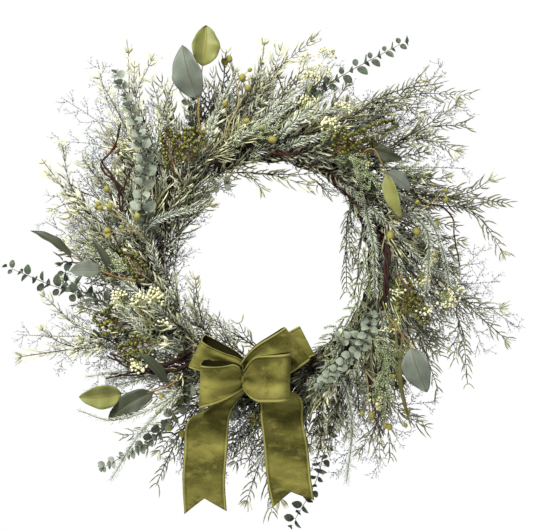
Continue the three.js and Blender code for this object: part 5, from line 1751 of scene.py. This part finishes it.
# %% Five loops
for number, (name, spec) in enumerate(LOOPS.items()):
    rows, uvs, run = [], [], 0.0
    for r in range(LOOP_ROWS + 1):
        turn = math.pi * r / LOOP_ROWS
        row = [loop_point(spec, turn, 2 * c / LOOP_COLUMNS - 1, 1.3 * number)
               for c in range(LOOP_COLUMNS + 1)]
        if rows:
            run += (row[LOOP_COLUMNS // 2] - rows[-1][LOOP_COLUMNS // 2]).length
        rows.append(row)
        uvs.append([(c / LOOP_COLUMNS, run / RIBBON_WIDTH) for c in range(LOOP_COLUMNS + 1)])
    inside = 1 if name.startswith("right") else 0
    ribbon_piece(f"bow_loop_{name}", rows, uvs, middle_length(rows) * GATHER_SHARE, inside)
    print(name, "loop is", round(middle_length(rows) / MM), "mm of ribbon")

# %% [markdown]
# ### The tails
# Each tail starts as a fold under the pinch, opens to full width and hangs in slow waves. Its end
# is cut in a notch, so the middle of the ribbon stops short of its two edges. A smooth curve is
# laid through the places of either edge, and the ribbon spans the two.

# %% Tails
TAIL_ROWS, TAIL_COLUMNS = 64, 24
NOTCH = 17 * MM
TAILS = {
    "left": [
        [(-36, -160, 40), (-24, -163, 40)], [(-76, -188, 42), (-40, -181, 42)],
        [(-103, -205, 46), (-48, -199, 45)], [(-107, -240, 40), (-51, -240, 40)],
        [(-109, -282, 44), (-54, -284, 44)], [(-107, -325, 40), (-52, -321, 41)],
    ],
    "right": [
        [(-34, -158, 36), (-20, -156, 36)], [(-12, -172, 42), (40, -170, 40)],
        [(-8, -205, 47), (47, -205, 45)], [(-4, -240, 41), (53, -238, 40)],
        [(0, -282, 46), (57, -278, 45)], [(7, -316, 42), (61, -306, 42)],
    ],
}


def along_edge(points, share):
    """A point at a share, from 0 to 1, of a smooth curve through the given points."""
    spans = len(points) - 1
    k = min(int(share * spans), spans - 1)
    return between(*led_on(points)[k:k + 4], share * spans - k)


for number, (name, pairs) in enumerate(TAILS.items()):
    left = [place(*pair[0]) for pair in pairs]
    right = [place(*pair[1]) for pair in pairs]
    drop = (left[0] - left[-1]).length
    rows, uvs = [], []
    for r in range(TAIL_ROWS + 1):
        row, marks = [], []
        for c in range(TAIL_COLUMNS + 1):
            across = c / TAIL_COLUMNS
            short = NOTCH * (1 - abs(2 * across - 1)) / drop
            share = (1 - short) * r / TAIL_ROWS
            point = along_edge(left, share).lerp(along_edge(right, share), across)
            loose = min(1.0, share * 2.6)
            point.y += 2.4 * MM * math.sin(across * TAU * 1.15 + share * 5 + number) * (1 - loose)
            point.y += 4.2 * MM * loose * math.sin(share * 14 + across * 1.3 + 2.4 * number)
            point.y += crumple(point, 30, 1.6)
            row.append(point)
            marks.append((across, share * drop / RIBBON_WIDTH))
        rows.append(row)
        uvs.append(marks)
    ribbon_piece(f"bow_tail_{name}", rows, uvs, middle_length(rows) + NOTCH / 2, 1)
    print(name, "tail is", round(middle_length(rows) / MM), "mm of ribbon")

# %% [markdown]
# ### The pinch
# Where the loops meet, the ribbon is crushed into a small upright bundle of folds, and a thin
# covered wire holds it to the vine. The bundle is an egg whose radius ripples round it. The wire's
# solid is fine enough as it is, so it only takes its finish.

# %% Pinch
KNOT_RINGS, KNOT_SIDES = 18, 40
KNOT_FOLDS, KNOT_FOLD_DEPTH = 7, 0.13
KNOT_HALF = (8.5, 10.5, 13.5)  # of its width, depth and height, in mm


def pinch_mesh():
    """An upright egg of crushed ribbon whose folds run up and down."""
    centre = place(PINCH[0], PINCH[1], PINCH[2] + 1)
    half_width, half_depth, half_height = KNOT_HALF
    shape = Shape()
    points, uvs, faces = [], [], []
    for k in range(1, KNOT_RINGS):
        height = math.cos(math.pi * k / KNOT_RINGS)
        width = math.sin(math.pi * k / KNOT_RINGS)
        for s in range(KNOT_SIDES):
            turn = TAU * s / KNOT_SIDES
            fold = 1 + KNOT_FOLD_DEPTH * math.sin(KNOT_FOLDS * turn + 1.5 * height)
            spot = Vector((math.cos(turn) * half_width * width * fold,
                           math.sin(turn) * half_depth * width * fold, height * half_height)) * MM
            points.append(centre + spot)
            uvs.append((0.3 + 0.4 * s / KNOT_SIDES, k / KNOT_RINGS))
    top, bottom = len(points), len(points) + 1
    points += [centre + UP * half_height * MM, centre - UP * half_height * MM]
    uvs += [(0.5, 0), (0.5, 1)]
    last = (KNOT_RINGS - 2) * KNOT_SIDES
    for s in range(KNOT_SIDES):
        t = (s + 1) % KNOT_SIDES
        faces += [(top, s, t), (bottom, last + t, last + s)]
        for k in range(KNOT_RINGS - 2):
            a = k * KNOT_SIDES
            faces.append((a + s, a + KNOT_SIDES + s, a + KNOT_SIDES + t, a + t))
    shape.add(points, faces, uvs)
    return shape.mesh("bow_pinch")


pinch_data = pinch_mesh()
pinch_data.materials.append(VELVET)
keep("bow_pinch", pinch_data, ["bow_ribbon"])
print("pinch:", triangles["bow_pinch"], "triangles")


# %% Wire
def wire_finish():
    """Floral wire: dull green enamel that has worn to steel in spots."""
    material, graph, shader = surface("enamelled_wire", 0.45)
    worn = object_noise(graph, 500, 3)
    colour = mix(graph, (worn - 0.55) * 5, (62, 64, 38), (132, 130, 118))
    link(graph, colour, shader, "Base Color")
    link(graph, (worn > 0.62) * 0.8, shader, "Metallic")
    bump(graph, worn, 0.0002, shader)
    return material


WIRE = wire_finish()
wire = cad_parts["bow_tie_wire"]
for holder in wire.material_slots:
    holder.material = WIRE
bow_counts = [count for name, count in triangles.items() if name.startswith("bow")]
print("bow:", sum(bow_counts), "triangles")

# %% [markdown]
# ## The filling between the sprays
# A packed wreath is mostly filler. Stems are pushed into the vine all the way round, each at an
# angle to it, so that the whole wreath flows one way, clockwise, and fans outwards. A few short
# ones point inwards and soften the edge of the hole. The grey misty filler lies lowest and spreads
# furthest. No stem of it is laid by hand: each row of a table strews one plant over a part of the
# ring, and the stems are trimmed where the wreath ends in the photo.

# %% The table of fillers
# Kind, stems, distance of the root from the centre, length, angle outwards from the ring's own
# direction, how far in front of the ring, and the part of the ring in degrees, each as a pair.
FILLERS = [
    ("mist", 22, (140, 190), (90, 140), (12, 56), (-8, 14), (0, 360)),
    ("mist", 13, (128, 140), (40, 72), (-46, -22), (-4, 14), (140, 262)),
    ("mist", 4, (130, 142), (36, 60), (-36, -14), (-4, 14), (0, 75)),
    ("mist", 10, (128, 168), (54, 90), (-20, 14), (16, 26), (0, 360)),
    ("rosemary", 62, (140, 190), (70, 130), (4, 44), (2, 28), (0, 360)),
    ("rosemary", 36, (132, 180), (64, 100), (-14, 22), (16, 34), (0, 360)),
    ("rosemary", 18, (133, 150), (46, 80), (-18, 6), (22, 32), (0, 360)),
    ("rosemary", 12, (122, 142), (50, 90), (-44, -18), (4, 30), (140, 262)),
    ("rosemary", 4, (122, 142), (40, 70), (-34, -14), (4, 30), (0, 70)),
    ("rosemary", 28, (155, 182), (86, 116), (32, 54), (4, 30), (10, 135)),
    ("rosemary", 18, (155, 185), (96, 130), (28, 56), (6, 30), (145, 192)),
    ("rosemary", 8, (150, 180), (80, 116), (4, 40), (0, 20), (252, 290)),
    ("rosemary", 22, (155, 182), (80, 104), (28, 50), (4, 24), (286, 366)),
    ("pale_rosemary", 17, (132, 175), (50, 90), (-10, 34), (26, 38), (60, 250)),
    ("pale_rosemary", 8, (132, 175), (50, 90), (-10, 34), (26, 38), (-50, 50)),
    ("mist", 16, (165, 195), (90, 128), (24, 56), (0, 24), (140, 188)),
    ("mist", 14, (150, 180), (76, 100), (30, 54), (0, 24), (-20, 135)),
    ("mist", 10, (150, 180), (76, 100), (26, 46), (0, 24), (262, 350)),
    ("mist", 4, (150, 185), (80, 112), (10, 44), (4, 26), (206, 230)),
    ("fir", 4, (150, 185), (70, 104), (10, 40), (24, 44), (204, 232)),
    ("fir", 22, (140, 190), (70, 110), (0, 40), (22, 42), (0, 360)),
    ("fir", 16, (134, 164), (54, 100), (-14, 16), (24, 38), (0, 360)),
    ("thuja", 14, (136, 200), (60, 100), (0, 42), (12, 34), (0, 360)),
    ("thuja", 14, (122, 165), (60, 96), (-8, 20), (26, 40), (285, 380)),
    ("thuja", 12, (133, 156), (46, 76), (-14, 10), (22, 32), (0, 360)),
    ("strap", 10, (130, 190), (44, 90), (-14, 44), (20, 38), (0, 360)),
    ("eucalyptus", 6, (142, 180), (60, 110), (0, 46), (14, 34), (0, 360)),
    ("dark_eucalyptus", 5, (142, 170), (70, 130), (14, 56), (4, 24), (0, 360)),
    ("berries", 5, (146, 186), (50, 80), (10, 60), (28, 44), (0, 360)),
    ("flowers", 7, (146, 190), (44, 90), (10, 60), (30, 48), (0, 360)),
    ("flowers", 4, (150, 178), (40, 72), (10, 44), (40, 54), (-26, 16)),
    ("fir", 4, (150, 176), (70, 100), (10, 36), (38, 48), (62, 130)),
    ("thuja", 2, (150, 168), (56, 80), (10, 30), (38, 48), (98, 114)),
    ("fir", 3, (165, 190), (92, 122), (34, 50), (26, 42), (226, 240)),
    ("mist", 3, (175, 195), (84, 108), (36, 54), (10, 30), (222, 236)),
]
print("filler stems:", sum(count for _, count, *_ in FILLERS))

# %% Filler stems
REACH_FROM, REACH_STEP = 10, 20  # degrees, anticlockwise from the right
# How far from the centre the wreath reaches in those directions, in mm, read off the photo.
REACH = [310, 285, 310, 275, 280, 300, 320, 310, 280, 290, 305, 305, 320, 310, 290, 285, 285, 310]
TRIM_SPREAD = 26  # mm by which single stems stop short of it or pass it
BEND = 26  # degrees that a stem turns along its length, at most
STEM_PARTS = 4
print("the wreath reaches", min(REACH), "to", max(REACH), "mm from its centre")


def trimmed(curve, rng):
    """The curve up to the wreath's reach, give or take."""
    extra = rng.uniform(-1.4, 0.6) * TRIM_SPREAD
    shown = []
    for point in curve:
        right, up = point.x / MM, point.z / MM - RING_CENTRE_HEIGHT
        step = (math.degrees(math.atan2(up, right)) - REACH_FROM) % 360 / REACH_STEP
        first = int(step) % len(REACH)
        second = (first + 1) % len(REACH)
        reach = REACH[first] + (REACH[second] - REACH[first]) * (step % 1)
        if math.hypot(right, up) > reach + extra:
            break
        shown.append(point)
    return shown if len(shown) > 4 else curve[:5]


def filler_stem(angle, base, length, splay, out, rng):
    """A stem that starts in the vine at an angle round it and fans away clockwise."""
    spot = Vector((math.cos(angle), math.sin(angle))) * base
    heading = angle - math.pi / 2 + math.radians(splay)
    bend = math.radians(rng.uniform(-0.4, 1.0) * BEND) / STEM_PARTS
    points = [place(spot.x, spot.y, rng.uniform(-6, 4))]
    for k in range(1, STEM_PARTS + 1):
        spot = spot + Vector((math.cos(heading), math.sin(heading))) * length / STEM_PARTS
        heading += bend
        rise = out * math.sin(math.pi * (0.2 + 0.55 * k / STEM_PARTS)) + rng.uniform(-3, 3)
        points.append(place(spot.x, spot.y, rise))
    return trimmed(smooth(points), rng)


# %% Filler in place
OTHER_FINISHES = {"dark_eucalyptus": DARK_EUCALYPTUS, "pale_rosemary": PALE_ROSEMARY}
GOLDEN = 0.618034  # steps by this share fill any span evenly
IN_A_PIECE = 10  # stems
for row, (kind, count, bases, lengths, splays, outs, arc) in enumerate(FILLERS):
    rng = random.Random(5000 + row)
    start = rng.random()
    habit = kind.removeprefix("dark_").removeprefix("pale_")
    first, last = (math.radians(end) for end in arc)
    order = sorted(first + (last - first) * ((start + GOLDEN * i) % 1) for i in range(count))
    groups = [order[i:i + IN_A_PIECE] for i in range(0, count, IN_A_PIECE)]
    for piece, angles in enumerate(groups):
        stems = []
        for angle in angles:
            values = (rng.uniform(*pair) for pair in (bases, lengths, splays, outs))
            stems += grow(habit, filler_stem(angle, *values, rng), [], rng, outs[1] * MM)
        name = f"filler_{kind}_{row}_{piece}"
        finish = OTHER_FINISHES.get(kind)
        organs = kind.removeprefix("pale_")
        seed = 200 + 10 * row + piece
        keep(name, dressed(name, organs, stems, seed, finish))
        if habit == "rosemary":
            add_stars(name, stems, kind.startswith("pale"), seed)
print("with filler:", sum(triangles.values()), "triangles")

# %% [markdown]
# ### Tendrils
# Thin bare ends of vine stick out between the leaves all round. They take the same way as the
# filler's stems, with a kink at every step, and are made like the vines of the ring.

# %% Tendrils
TENDRILS = 34
# Distance of the root from the centre, length, angle outwards and distance in front of the ring.
TENDRIL_RANGES = ((140, 180), (50, 120), (-20, 46), (24, 40))
rng = random.Random(606)
tendril_shape = Shape()
for i in range(TENDRILS):
    angle = TAU * ((0.37 + GOLDEN * i) % 1)
    values = [rng.uniform(*pair) for pair in TENDRIL_RANGES]
    path = kept(filler_stem(angle, *values, rng))
    path = [p + noise.noise_vector(p * 110) * KINK * 1.4 for p in path]
    thick, count = rng.uniform(0.8, 1.4), len(path)
    if count > 3:
        radii = [thick * (1 - 0.5 * k / count) * MM for k in range(count)]
        vine(tendril_shape, path, radii, rng, 5)
tendril_data = tendril_shape.mesh("filler_tendrils")
tendril_data.materials.append(BARK)
settle(tendril_data)
keep("filler_tendrils", tendril_data)

largest = max(triangles, key=triangles.get)
print("largest piece", largest, triangles[largest])
print("all pieces", sum(triangles.values()), "triangles")
